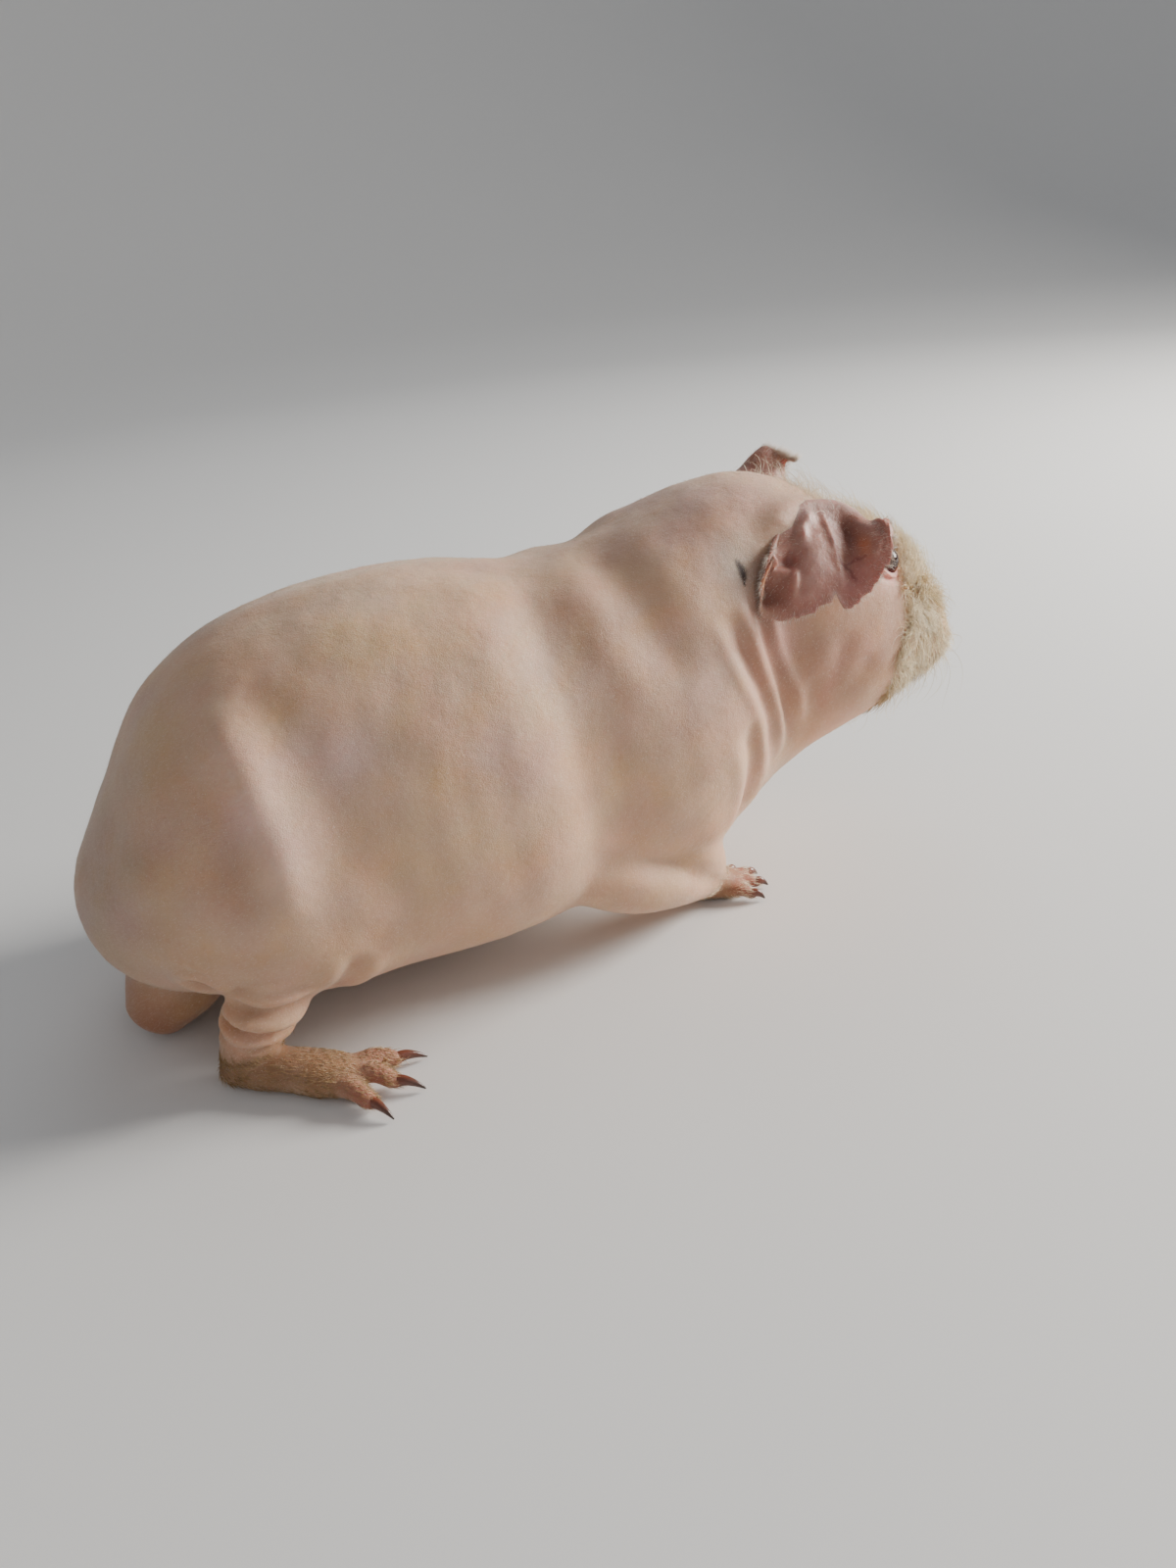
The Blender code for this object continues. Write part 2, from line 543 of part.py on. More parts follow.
def ear(word, side, carrier):
    """A thin, drooping ear, hollow below, with a ridge over its bend and a notch in its edge."""
    root, edge = mirrored(EAR_ROOT, side), mirrored(EAR_EDGE, side)
    keys = np.arange(len(root), dtype=float)
    along = np.linspace(0.0, keys[-1], 12)
    root, edge = catmull_rom(keys, root, along), catmull_rom(keys, edge, along)
    lifts = EAR_PRICK[word] * np.sin(0.6 * math.pi * along / keys[-1])
    bm = bmesh.new()
    rows = []
    outward = Vector((0.0, EAR_OUT[0] * side, EAR_OUT[1]))
    for low, high, lift in zip(root, edge, lifts):
        low, high = Vector(low), Vector(high) + Vector((0.0, 0.0, lift))
        row = [low - (high - low).normalized() * EAR_INSET]
        for t in np.linspace(0.0, 1.0, EAR_STEPS + 1):
            arch = (EAR_BULGE + lift) * math.sin(math.pi * (t * 0.85 + 0.06))
            row.append(low.lerp(high, t) + outward * arch)
        rows.append([bm.verts.new(p * MM) for p in row])
    for row, after in zip(rows, rows[1:]):
        for k in range(len(row) - 1):
            bm.faces.new((row[k], row[k + 1], after[k + 1], after[k]))
    mesh = bpy.data.meshes.new("ear")
    bm.to_mesh(mesh)
    bm.free()
    sheet = new_object("ear_" + word, mesh)
    solidify = sheet.modifiers.new("thickness", "SOLIDIFY")
    solidify.thickness = EAR_THICK * MM
    solidify.offset = 0.0
    applied(sheet)
    close_normals(sheet)
    boolean(sheet, [grown(copied(carrier, "clearance"), GAP)], "DIFFERENCE")
    return sheet


def applied(obj):
    """Puts an object's modifiers into its mesh."""
    bpy.context.view_layer.update()
    graph = bpy.context.evaluated_depsgraph_get()
    made = bpy.data.meshes.new_from_object(obj.evaluated_get(graph))
    obj.modifiers.clear()
    obj.data = made


def close_normals(obj):
    bm = bmesh.new()
    bm.from_mesh(obj.data)
    bmesh.ops.recalc_face_normals(bm, faces=bm.faces[:])
    bm.to_mesh(obj.data)
    bm.free()


# Colours of the parts: colour, roughness
FINISHES = {
    "skin":   ((0.62, 0.43, 0.36), 0.55),
    "ear":    ((0.36, 0.14, 0.10), 0.45),
    "fur":    ((0.70, 0.52, 0.34), 0.80),
    "eye":    ((0.06, 0.01, 0.01), 0.08),
    "claw":   ((0.16, 0.10, 0.07), 0.40),
}


def finished(obj, kind):
    """Gives a part its own material."""
    colour, roughness = FINISHES[kind]
    material = bpy.data.materials.new(obj.name + "_" + kind)
    material.use_nodes = True
    shader = material.node_tree.nodes["Principled BSDF"]
    shader.inputs["Base Color"].default_value = (*colour, 1.0)
    shader.inputs["Roughness"].default_value = roughness
    shader.inputs["Metallic"].default_value = 0.0
    obj.data.materials.clear()
    obj.data.materials.append(material)
    return obj


def feet_and_limbs(flesh):
    """Parts feet, thighs and forelegs from the flesh and adds the claws."""
    made = []
    toe_sets = {"hind": (HIND_TOES, HIND_SHIFT, "hind_foot_"),
                "fore": (FORE_TOES, FORE_SHIFT, "forefoot_")}
    for word, side in SIDES.items():
        for kind, (toes, shifts, name) in toe_sets.items():
            low, high = FOOT_BOXES[kind]
            ends = sorted((low[1] * side, high[1] * side))
            region = block("region", (low[0], ends[0], -5.0), (high[0], ends[1], FOOT_HEIGHT))
            foot = carved(flesh, name + word, region)
            made.append(finished(foot, "fur"))
            for toe_name, toe in toes.items():
                claw_name = "_".join(("claw", kind, toe_name, word))
                horn = claw(claw_name, toe, side, shifts[word], foot)
                made.append(finished(horn, "claw"))
        for name, (centre, radii), shifts in (("thigh_", THIGH, HIND_SHIFT),
                                              ("foreleg_", FORELEG, FORE_SHIFT)):
            middle = mirrored([centre], side, shifts[word])[0]
            region = ball("region", middle, radii, segments=20, rings=12)
            made.append(finished(carved(flesh, name + word, region), "skin"))
    return made


def main():
    for old in list(bpy.data.objects):
        bpy.data.objects.remove(old)
    flesh = body_skin()
    plain = copied(flesh, "plain")
    boolean(flesh, limbs(), "UNION")
    below = block("floor", (-200.0, -200.0, -FLOOR_DEPTH), (200.0, 200.0, 0.0))
    boolean(flesh, [below], "DIFFERENCE")
    made = feet_and_limbs(flesh)
    for name, (hinge, lean) in (("head", HEAD_CUT), ("neck", NECK_CUT)):
        region = block("region", (hinge[0], -80.0, -60.0), (260.0, 80.0, 200.0), lean, hinge)
        made.append(finished(carved(flesh, name, region), "skin"))
    head = bpy.data.objects["head"]
    face_details(head)
    for word, side in SIDES.items():
        eye = ball("eye_" + word, eye_centre(side), (EYE_R,) * 3, segments=16, rings=10)
        made.append(finished(eye, "eye"))
        made.append(finished(ear(word, side, plain), "ear"))
    bpy.data.objects.remove(plain)
    flesh.name = "torso"
    made.append(finished(flesh, "skin"))
    parts = bpy.data.collections.new("skinny_pig")
    bpy.context.scene.collection.children.link(parts)
    for part in made:
        part.data.transform(Matrix.Translation(TO_ORIGIN))
        bpy.context.scene.collection.objects.unlink(part)
        parts.objects.link(part)


main()
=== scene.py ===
"""The looks of a hairless guinea pig: one fine skin, thin ears, eyes, claws and a wiry muzzle coat.

Tables are in millimetres, on the same place and scale as the part's own, before ORIGIN moves them.
The right side lies at -Y and faces the camera.
"""
import math

import bmesh
import bpy
import numpy as np
from mathutils import Matrix, Vector


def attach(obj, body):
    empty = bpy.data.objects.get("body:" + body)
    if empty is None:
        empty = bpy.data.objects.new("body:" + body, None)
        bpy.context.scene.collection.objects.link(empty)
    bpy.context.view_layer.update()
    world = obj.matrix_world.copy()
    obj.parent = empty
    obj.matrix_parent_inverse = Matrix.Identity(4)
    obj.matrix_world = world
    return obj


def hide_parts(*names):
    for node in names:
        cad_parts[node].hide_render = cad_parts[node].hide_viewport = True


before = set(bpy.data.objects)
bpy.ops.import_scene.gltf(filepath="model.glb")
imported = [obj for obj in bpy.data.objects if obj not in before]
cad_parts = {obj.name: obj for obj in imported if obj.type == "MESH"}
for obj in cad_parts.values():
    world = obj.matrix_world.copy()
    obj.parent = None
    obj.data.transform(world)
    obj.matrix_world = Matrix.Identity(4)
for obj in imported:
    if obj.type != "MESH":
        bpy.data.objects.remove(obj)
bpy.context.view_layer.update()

MM = 0.001
ORIGIN = np.array([-15.5, 0.0, 0.0])
RIGHT, LEFT = -1, 1
SIDES = {"right": RIGHT, "left": LEFT}
AHEAD, UP = (1.0, 0.0, 0.0), (0.0, 0.0, 1.0)
TURN = 2 * math.pi

# The trunk and head, from the rump to the nose: x, height of the back, height of the belly,
# half width, share of the height where it is widest, fullness
STATIONS = {
    "rear":         (-107.2, 36.1, 36.1, 0.0, 0.50, 2.0),
    "seat":         (-105.4, 45.1, 28.0, 13.5, 0.50, 2.0),
    "buttock":      (-100.2, 54.1, 20.4, 24.7, 0.48, 2.0),
    "rump":         (-92.6, 66.0, 15.7, 33.2, 0.46, 2.1),
    "croup":        (-81.4, 83.0, 12.3, 40.8, 0.44, 2.1),
    "hips":         (-64.9, 95.0, 10.0, 45.3, 0.43, 2.2),
    "loin":         (-43.7, 101.0, 7.6, 47.6, 0.42, 2.2),
    "back":         (-20.9, 103.2, 6.2, 48.5, 0.42, 2.2),
    "ribs":         (1.9, 101.2, 7.6, 46.7, 0.42, 2.2),
    "dip":          (17.1, 99.3, 9.5, 44.0, 0.43, 2.2),
    "withers":      (32.3, 101.6, 12.3, 40.8, 0.44, 2.2),
    "shoulders":    (49.4, 106.4, 15.2, 37.3, 0.45, 2.2),
    "neck":         (64.6, 110.5, 19.0, 33.7, 0.46, 2.2),
    "nape":         (77.0, 111.4, 24.7, 31.0, 0.47, 2.2),
    "occiput":      (88.3, 107.8, 31.5, 29.4, 0.50, 2.3),
    "brow":         (99.3, 100.7, 37.2, 28.0, 0.54, 2.5),
    "eyes":         (109.2, 93.8, 41.4, 26.0, 0.55, 2.6),
    "cheeks":       (118.0, 86.8, 44.4, 22.5, 0.50, 2.5),
    "muzzle":       (125.8, 79.3, 47.2, 18.6, 0.46, 2.5),
    "snout":        (131.8, 72.4, 49.6, 15.4, 0.46, 2.5),
    "nose":         (136.0, 66.0, 52.0, 11.2, 0.47, 2.3),
    "tip":          (138.2, 59.0, 59.0, 0.0, 0.50, 2.0),
}
STATION_ROWS = np.array(list(STATIONS.values()))

# Soft forms pushed out of the loft: centre, reach and push, given for the left side
SWELLS = {
    "thigh":        ((-68.4, 47.5, 36.1), (28.5, 28.5, 32.3), (0.0, 5.2, 0.0)),
    "knee":         ((-51.3, 47.5, 20.9), (14.2, 22.8, 16.2), (0.0, 3.8, -1.0)),
    "flank hollow": ((-41.8, 49.4, 58.9), (16.2, 28.5, 28.5), (0.0, -2.4, 0.0)),
    "belly":        ((-7.6, 41.8, 30.4), (39.9, 28.5, 24.7), (0.0, 2.4, -1.0)),
    "rib hollow":   ((22.8, 47.5, 47.5), (11.4, 38.0, 43.7), (0.0, -2.4, 0.0)),
    "shoulder":     ((47.5, 38.0, 42.8), (19.0, 24.7, 28.5), (0.0, 4.8, 0.0)),
    "elbow":        ((47.5, 34.2, 20.9), (14.2, 20.9, 13.3), (1.0, 4.8, -1.9)),
    "neck hollow":  ((76.0, 34.2, 58.9), (8.5, 28.5, 34.2), (0.0, -3.3, 0.0)),
    "cheek":        ((102.6, 26.6, 52.2), (15.2, 17.1, 16.2), (0.0, 2.8, 0.0)),
    "eye hollow":   ((115.9, 22.8, 79.8), (8.5, 13.3, 7.6), (0.0, -1.4, 0.0)),
    "whisker pad":  ((130.2, 16.2, 54.2), (7.6, 10.4, 7.6), (0.5, 2.1, 0.0)),
}

# Limbs, given for the left side: x, y, z, half width, half height along each
HIND_LEG = ((-60.8, 38.0, 31.4, 10.4, 10.4), (-67.4, 39.9, 22.8, 9.1, 8.9),
            (-72.7, 40.5, 15.2, 7.6, 7.4), (-76.0, 40.7, 9.0, 6.6, 6.3), (-77.0, 41.3, 4.8, 5.5, 5.1))
HIND_FOOT = ((-80.3, 38.9, 4.4, 4.2, 4.4), (-75.0, 42.3, 4.6, 5.3, 5.2), (-66.5, 47.5, 4.4, 5.7, 4.9),
             (-58.4, 52.7, 3.8, 6.3, 4.4), (-53.7, 55.3, 3.2, 5.3, 3.5))
FORE_LEG = ((37.0, 26.5, 33.0, 10.4, 10.4), (43.4, 27.4, 24.0, 9.6, 9.4),
            (48.7, 25.6, 16.2, 7.4, 7.2), (51.8, 22.8, 9.5, 5.5, 5.4), (54.2, 21.5, 5.2, 4.9, 4.6))
FOREARM = ((13.0, 33.0, 27.0, 9.0, 9.0), (25.0, 33.5, 20.0, 8.6, 8.6), (35.5, 31.5, 15.8, 7.6, 7.4),
           (44.5, 27.0, 11.2, 6.4, 6.2), (51.5, 22.5, 7.2, 5.2, 5.0))
FORE_FOOT = ((50.3, 21.3, 4.9, 4.2, 4.4), (55.6, 21.7, 4.0, 5.1, 4.5), (60.3, 22.0, 3.0, 4.9, 3.4))
LOBE = ((-83.5, 8.5, 22.5, 13.0, 13.5), (-91.5, 9.3, 12.4, 12.6, 11.6), (-96.0, 9.7, 6.6, 9.5, 8.2))
# Toes: start, knuckle and end of the toe, then the tip of its claw
HIND_TOES = {
    "outer":  ((-58.0, 56.5, 3.4), (-54.7, 61.0, 4.1), (-52.4, 64.2, 2.7), (-48.3, 70.5, 0.8)),
    "middle": ((-54.6, 54.2, 3.6), (-49.2, 57.6, 4.6), (-46.0, 59.8, 2.8), (-39.3, 63.8, 0.8)),
    "inner":  ((-54.6, 50.8, 3.4), (-48.1, 51.9, 4.3), (-44.3, 52.2, 2.8), (-36.3, 52.8, 0.8)),
}
FORE_TOES = {
    "first":  ((56.5, 18.6, 2.8), (59.8, 16.7, 3.4), (61.9, 15.6, 2.3), (65.4, 13.7, 0.8)),
    "second": ((58.9, 20.5, 2.8), (63.3, 19.7, 3.7), (65.7, 19.2, 2.4), (69.7, 18.4, 0.8)),
    "third":  ((58.9, 23.2, 2.8), (63.1, 23.9, 3.7), (65.6, 24.4, 2.4), (69.5, 25.2, 0.8)),
    "fourth": ((56.5, 25.6, 2.8), (60.0, 27.7, 3.4), (62.0, 29.0, 2.3), (65.4, 31.0, 0.8)),
}
TOE_R = {"hind": 2.4, "fore": 1.8}
TOE_TAPER = ((1.15,), (1.0,), (0.85,), (0.6,))
TOE_IN_CLAW = 0.2                   # how far a toe runs on inside its claw
TOES = {"hind": HIND_TOES, "fore": FORE_TOES}
# How far each foot stands from its place, forward and out
SHIFTS = {"hind": {"right": (0.0, 0.0), "left": (4.8, 0.0)},
          "fore": {"right": (0.0, 0.0), "left": (5.7, 2.8)}}
STILL = (0.0, 0.0)

EYE_AT = (108.6, 39.5)              # x and angle of the left eye on the skin
EYE_DEPTH, EYE_R = 1.9, 4.7
EYE_LOOK, EYE_LONG = (0.36, 0.86, 0.36), (0.86, -0.30, -0.42)
NOSTRIL = (136.4, 3.4, 61.6)
# The mouth's line: x and angle on the skin
MOUTH = ((136.4, 270.0), (135.3, 284.0), (132.6, 297.0), (128.6, 308.0), (124.4, 316.0))
CLEFT = ((138.4, 0.0, 58.0), (137.6, 0.0, 54.6), (135.7, 0.0, 51.5))

VOXEL = 0.7                         # size of the skin's mesh
FAR = 1000.0                        # stands for out of reach


def smoothstep(x, low, high):
    t = np.clip((x - low) / (high - low), 0.0, 1.0)
    return t * t * (3 - 2 * t)


def bell(offset):
    """1 in the middle, and down to 0 on both sides of it."""
    return np.exp(-offset ** 2)


def unit(v):
    return v / np.maximum(np.linalg.norm(v, axis=-1, keepdims=True), 1e-9)


def lengths_along(places):
    steps = np.linalg.norm(np.diff(places, axis=0), axis=1)
    return np.concatenate([[0.0], np.cumsum(steps)])


def through(keys, rows, at):
    """The rows of a table read between its keys, on a smooth curve through them."""
    slopes = np.gradient(rows, keys, axis=0)
    i = np.clip(np.searchsorted(keys, at, side="right") - 1, 0, len(keys) - 2)
    step = (keys[i + 1] - keys[i])[:, None]
    t = (at - keys[i])[:, None] / step
    return ((1 + 2 * t) * (1 - t) ** 2 * rows[i] + t * (1 - t) ** 2 * step * slopes[i]
            + t * t * (3 - 2 * t) * rows[i + 1] + t * t * (t - 1) * step * slopes[i + 1])


HALF_HEIGHTS = (STATION_ROWS[:, 1] - STATION_ROWS[:, 2]) / 2
KEYS = lengths_along(np.column_stack([STATION_ROWS[:, 0], HALF_HEIGHTS, STATION_ROWS[:, 3]]))
FINE_KEYS = np.linspace(0.0, KEYS[-1], 600)
FINE_X = through(KEYS, STATION_ROWS, FINE_KEYS)[:, 0]


def mirrored(points, side, shift=STILL):
    """A point or table of points given for the left side, on that side and moved forward and out."""
    rows = np.array(points, float)
    rows[..., 0] += shift[0]
    rows[..., 1] = (rows[..., 1] + shift[1]) * side
    return rows


def bump_at(points, centre, reach):
    offset = (points - np.array(centre)) / np.array(reach)
    return np.exp(-(offset ** 2).sum(axis=-1))


def swelled(points):
    moved = points.copy()
    for centre, reach, push in SWELLS.values():
        for side in SIDES.values():
            weight = bump_at(points, mirrored(centre, side), reach)[..., None]
            moved += weight * mirrored(push, side)
    return moved


def body_points(keys, angles):
    """Points of the skin, one row for each key and one column for each angle in radians."""
    x, top, bottom, half, share, full = through(KEYS, STATION_ROWS, keys).T[:, :, None]
    middle = bottom + share * (top - bottom)
    across, up = np.cos(angles)[None, :], np.sin(angles)[None, :]
    y = np.maximum(half, 0) * np.sign(across) * np.abs(across) ** (2 / full)
    reach = np.where(up > 0, top - middle, middle - bottom)
    z = middle + np.maximum(reach, 0) * np.sign(up) * np.abs(up) ** (2 / full)
    return swelled(np.stack([np.broadcast_to(x, y.shape), y, z], axis=-1))


def body_at(x, degrees, side=LEFT):
    """The point of the skin at x and its outward normal. The angle is the left side's."""
    degrees = degrees if side == LEFT else 540.0 - degrees
    key, angle = np.interp(x, FINE_X, FINE_KEYS), math.radians(degrees)
    near = body_points(key + np.array([-0.6, 0.0, 0.6]), angle + np.array([-0.04, 0.0, 0.04]))
    normal = np.cross(near[2, 1] - near[0, 1], near[1, 2] - near[1, 0])
    normal /= np.linalg.norm(normal)
    row = through(KEYS, STATION_ROWS, np.array([key]))[0]
    outward = near[1, 1] - np.array([x, 0.0, (row[1] + row[2]) / 2])
    return near[1, 1], normal if normal @ outward > 0 else -normal


def lofted(rings, first, last):
    """Points and faces of a closed skin over equal rings, ended in two points."""
    count = len(rings[0])
    points = [p for ring in rings for p in ring] + [first, last]
    faces = []
    for r in range(len(rings) - 1):
        for i in range(count):
            j = (i + 1) % count
            faces.append((r * count + i, r * count + j, (r + 1) * count + j, (r + 1) * count + i))
    top, base = len(points) - 1, (len(rings) - 1) * count
    for i in range(count):
        j = (i + 1) % count
        faces.append((j, i, top - 1))
        faces.append((base + i, base + j, top))
    return np.array(points), faces


def tube(stations, sides=24, steps=6, up=UP, round_end=0.6):
    """A rounded limb along stations of x, y, z, half width and half height."""
    table = np.array(stations, float)
    keys = lengths_along(table[:, :3])
    fine = np.unique(np.concatenate([np.linspace(a, b, steps + 1) for a, b in zip(keys, keys[1:])]))
    rows = through(keys, table, fine)
    ahead = unit(np.gradient(rows[:, :3], fine, axis=0))
    across = unit(np.cross(np.array(up), ahead))
    over = np.cross(ahead, across)
    turns = np.arange(sides) * TURN / sides
    rings = []
    # each end closes over a few shrinking rings, so that it is round
    for k, (row, a, c, o) in enumerate(zip(rows, ahead, across, over)):
        here = [(1.0, 0.0)]
        if k in (0, len(rows) - 1):
            way = -1 if k == 0 else 1
            here += [(math.cos(t), way * math.sin(t)) for t in (0.45, 0.9, 1.3)]
        for shrink, push in (here[::-1] if k == 0 else here):
            middle = row[:3] + a * push * min(row[3:]) * round_end
            rings.append([middle + shrink * (c * row[3] * math.cos(t) + o * row[4] * math.sin(t))
                          for t in turns])
    first = rows[0, :3] - ahead[0] * min(rows[0, 3:]) * round_end
    last = rows[-1, :3] + ahead[-1] * min(rows[-1, 3:]) * round_end
    return lofted(rings, first, last)


def body_and_limbs():
    """The closed pieces whose union is the flesh."""
    rings, sides = 240, 160
    rows = body_points(np.linspace(KEYS[0], KEYS[-1], rings), np.arange(sides) * 2 * math.pi / sides)
    parts = [lofted(list(rows[1:-1]), rows[0, 0], rows[-1, 0])]
    for word, side in SIDES.items():
        parts.append(tube(mirrored(LOBE, side)))
        for table, kind, up in ((HIND_LEG, "hind", AHEAD), (HIND_FOOT, "hind", UP), (FORE_LEG, "fore", AHEAD),
                                (FOREARM, "fore", UP), (FORE_FOOT, "fore", UP)):
            parts.append(tube(mirrored(table, side, SHIFTS[kind][word]), up=up))
        for kind, toes in TOES.items():
            sizes = np.array(TOE_TAPER) * TOE_R[kind]
            for toe in toes.values():
                path = mirrored(toe, side, SHIFTS[kind][word])
                path[3] = path[2] + (path[3] - path[2]) * TOE_IN_CLAW
                parts.append(tube(np.hstack([path, sizes, sizes]), sides=16, steps=4))
    return parts


def linked(name, data):
    """A new object of some data, in the scene."""
    obj = bpy.data.objects.new(name, data)
    bpy.context.scene.collection.objects.link(obj)
    return obj


def mesh_of(name, points, faces):
    """An object of points in mm, set in the frame."""
    mesh = bpy.data.meshes.new(name)
    mesh.from_pydata(((np.asarray(points) + ORIGIN) * MM).tolist(), [], faces)
    mesh.validate()
    return linked(name, mesh)


def values_of(items, key, width, kind=np.int32):
    """One value of every item of a mesh, in rows."""
    flat = np.empty(len(items) * width, kind)
    items.foreach_get(key, flat)
    return flat.reshape(-1, width)


def in_frame(points):
    """Points in mm as the flat list of metres that a mesh takes."""
    return ((points + ORIGIN) * MM).astype(np.float32).ravel()


def normals_of(points, tris):
    crosses = np.cross(points[tris[:, 1]] - points[tris[:, 0]], points[tris[:, 2]] - points[tris[:, 0]])
    total = np.stack([sum(np.bincount(tris[:, k], weights=crosses[:, axis], minlength=len(points))
                          for k in range(3)) for axis in range(3)], axis=1)
    return unit(total)


def smoothed(points, edges, weight, rounds):
    """Points drawn towards the middle of their neighbours, by weight, which is one number or many."""
    count = np.maximum(np.bincount(edges.ravel(), minlength=len(points)), 1)[:, None]
    weight = np.broadcast_to(weight, (len(points),))[:, None]
    for _ in range(rounds):
        total = np.stack([np.bincount(edges[:, 0], weights=points[edges[:, 1], k], minlength=len(points))
                          + np.bincount(edges[:, 1], weights=points[edges[:, 0], k], minlength=len(points))
                          for k in range(3)], axis=1)
        points = points + weight * (total / count - points)
    return points


def line_distance(points, line, reach, count=24):
    """Distance of the points within reach of a smooth line, and their share along it."""
    line = np.array(line, float)
    keys = lengths_along(line)
    fine = through(keys, line, np.linspace(0, keys[-1], count))
    inside = ((points > fine.min(axis=0) - reach) & (points < fine.max(axis=0) + reach)).all(axis=1)
    near = np.flatnonzero(inside)
    part = points[near]
    best, where = np.full(len(part), FAR), np.zeros(len(part))
    for i, (a, b) in enumerate(zip(fine, fine[1:])):
        along = b - a
        t = np.clip((part - a) @ along / (along @ along), 0, 1)
        d = np.linalg.norm(part - a - t[:, None] * along, axis=1)
        nearer = d < best
        best[nearer] = d[nearer]
        where[nearer] = (i + t[nearer]) / (count - 1)
    distance, share = np.full(len(points), FAR), np.zeros(len(points))
    distance[near], share[near] = best, where
    return distance, share


def within_ends(share, steepness, least=0.0):
    """1 along a line and down to least at both of its ends."""
    return np.clip(np.minimum(share, 1 - share) * steepness, least, 1.0)


# Folds of the skin on the right side: line, width, depth and height of the rolls beside it.
# A depth below zero raises a ridge.
FOLDS = {
    "upper roll":   (((-84.5, -36.0, 34.0), (-80.6, -41.8, 28.5), (-76.0, -45.5, 24.8), (-69.2, -48.7, 22.6),
                      (-63.5, -48.0, 22.0), (-58.5, -44.5, 22.5)), 1.5, 1.9, 0.75),
    "first roll":   (((-86.0, -36.0, 39.0), (-81.3, -43.0, 32.7), (-75.5, -47.4, 28.2), (-69.0, -49.0, 27.0),
                      (-61.5, -48.6, 26.6), (-57.0, -46.0, 26.0)), 1.3, 0.55, 0.6),
    "lower roll":   (((-84.0, -35.0, 24.0), (-79.5, -41.9, 20.8), (-75.0, -46.6, 18.4), (-70.1, -48.1, 17.0),
                      (-64.9, -46.5, 16.2), (-61.0, -42.0, 16.5)), 1.2, 1.6, 0.8),
    "ankle roll":   (((-82.0, -37.0, 17.5), (-78.5, -43.5, 15.4), (-75.1, -46.8, 13.8), (-70.5, -47.0, 12.6),
                      (-66.0, -44.0, 12.0)), 1.0, 0.6, 0.6),
    "neck fold":    (((64.0, -28.0, 88.0), (66.0, -31.0, 82.5), (67.5, -32.1, 73.8), (71.8, -30.3, 62.8),
                      (75.2, -28.1, 53.0), (77.5, -24.5, 42.0)), 2.2, 1.2, 0.6),
    "hind neck":    (((56.5, -31.0, 86.0), (58.5, -33.0, 80.6), (61.2, -34.5, 72.0), (65.5, -34.0, 61.0),
                      (67.6, -32.3, 50.3), (69.5, -29.0, 40.0)), 2.4, 1.3, 0.55),
    "jaw fold":     (((92.0, -29.3, 73.0), (90.0, -29.5, 64.0), (86.0, -28.5, 56.2), (84.5, -26.5, 48.5)),
                     3.2, 0.75, 0.3),
    "cheek fold":   (((99.0, -29.0, 66.0), (94.6, -29.3, 58.7), (88.0, -28.0, 52.0)), 3.0, 0.6, 0.3),
    "throat":       (((82.6, -28.8, 63.0), (81.4, -27.9, 53.7), (82.0, -24.0, 42.0)), 2.2, 0.6, 0.4),
    "rib furrow":   (((11.0, -5.6, 99.4), (10.6, -31.3, 86.9), (13.4, -41.8, 65.5), (15.0, -44.4, 43.1),
                      (11.5, -42.0, 24.0)), 7.5, 1.7, 0.35),
    "wither furrow": (((31.0, -3.0, 101.4), (34.5, -23.6, 94.4), (39.2, -34.1, 81.7), (44.4, -38.2, 71.8)),
                      6.0, 1.5, 0.3),
    "elbow fold":   (((57.5, -37.0, 58.0), (61.0, -36.5, 48.0), (60.5, -33.5, 38.0), (57.0, -30.0, 27.0)),
                     3.4, 1.8, 0.35),
    "armpit":       (((12.0, -43.0, 33.0), (24.0, -43.5, 30.0), (36.0, -42.0, 24.0), (46.0, -38.0, 17.5)),
                     2.6, 0.9, 0.4),
    "thigh ridge":  (((-66.5, -25.0, 88.5), (-62.6, -35.0, 80.8), (-61.1, -39.8, 75.0), (-59.5, -44.0, 67.6),
                      (-58.0, -46.6, 60.5), (-57.6, -48.5, 53.6), (-58.7, -49.9, 44.0)), 5.6, -2.3, 0.35),
    "flank ridge":  (((-52.0, -42.0, 70.0), (-50.4, -44.4, 66.4), (-48.3, -46.8, 58.0), (-45.1, -48.5, 48.0),
                      (-41.5, -49.5, 36.0)), 4.0, -0.6, 0.3),
    "groin":        (((-47.0, -49.0, 32.0), (-50.5, -47.0, 23.0), (-55.0, -42.0, 18.0)), 2.6, 1.4, 0.4),
    "spine":        (((-85.0, 0.0, 80.0), (-45.0, 0.0, 101.0), (0.0, 0.0, 101.5), (30.0, 0.0, 101.0)),
                     5.0, -0.6, 0.0),
}
# Where a limb leaves the body: place, reach, and the foot that it moves with
JOINS = (((-62.0, 42.0, 26.0), 11.0, "hind"), ((-80.0, 30.0, 22.0), 10.0, "hind"),
         ((-76.0, 41.0, 8.0), 6.0, "hind"), ((46.0, 28.0, 22.0), 10.0, "fore"),
         ((52.0, 22.0, 9.0), 5.0, "fore"), ((22.0, 36.0, 20.0), 10.0, "fore"),
         ((35.0, 34.0, 20.0), 8.0, "fore"), ((-88.0, 10.0, 18.0), 9.0, None))
JOIN_WEIGHT, REST_WEIGHT = 0.75, 0.25

# The opening of an eye: half length, half height above and below, and the reach of its lids
EYE_HALF_LONG, EYE_HALF_UP, EYE_HALF_DOWN, LID_REACH = 4.05, 2.75, 2.95, 13.0
# Height of the lids over the ball, at steps from the middle of the opening, which ends at 1
LID_STEPS = (0.0, 0.86, 1.0, 1.12, 1.3, 1.55, 1.85)
LID_HEIGHTS = (-1.3, -1.2, 0.35, 0.95, 1.1, 0.55, 0.1)
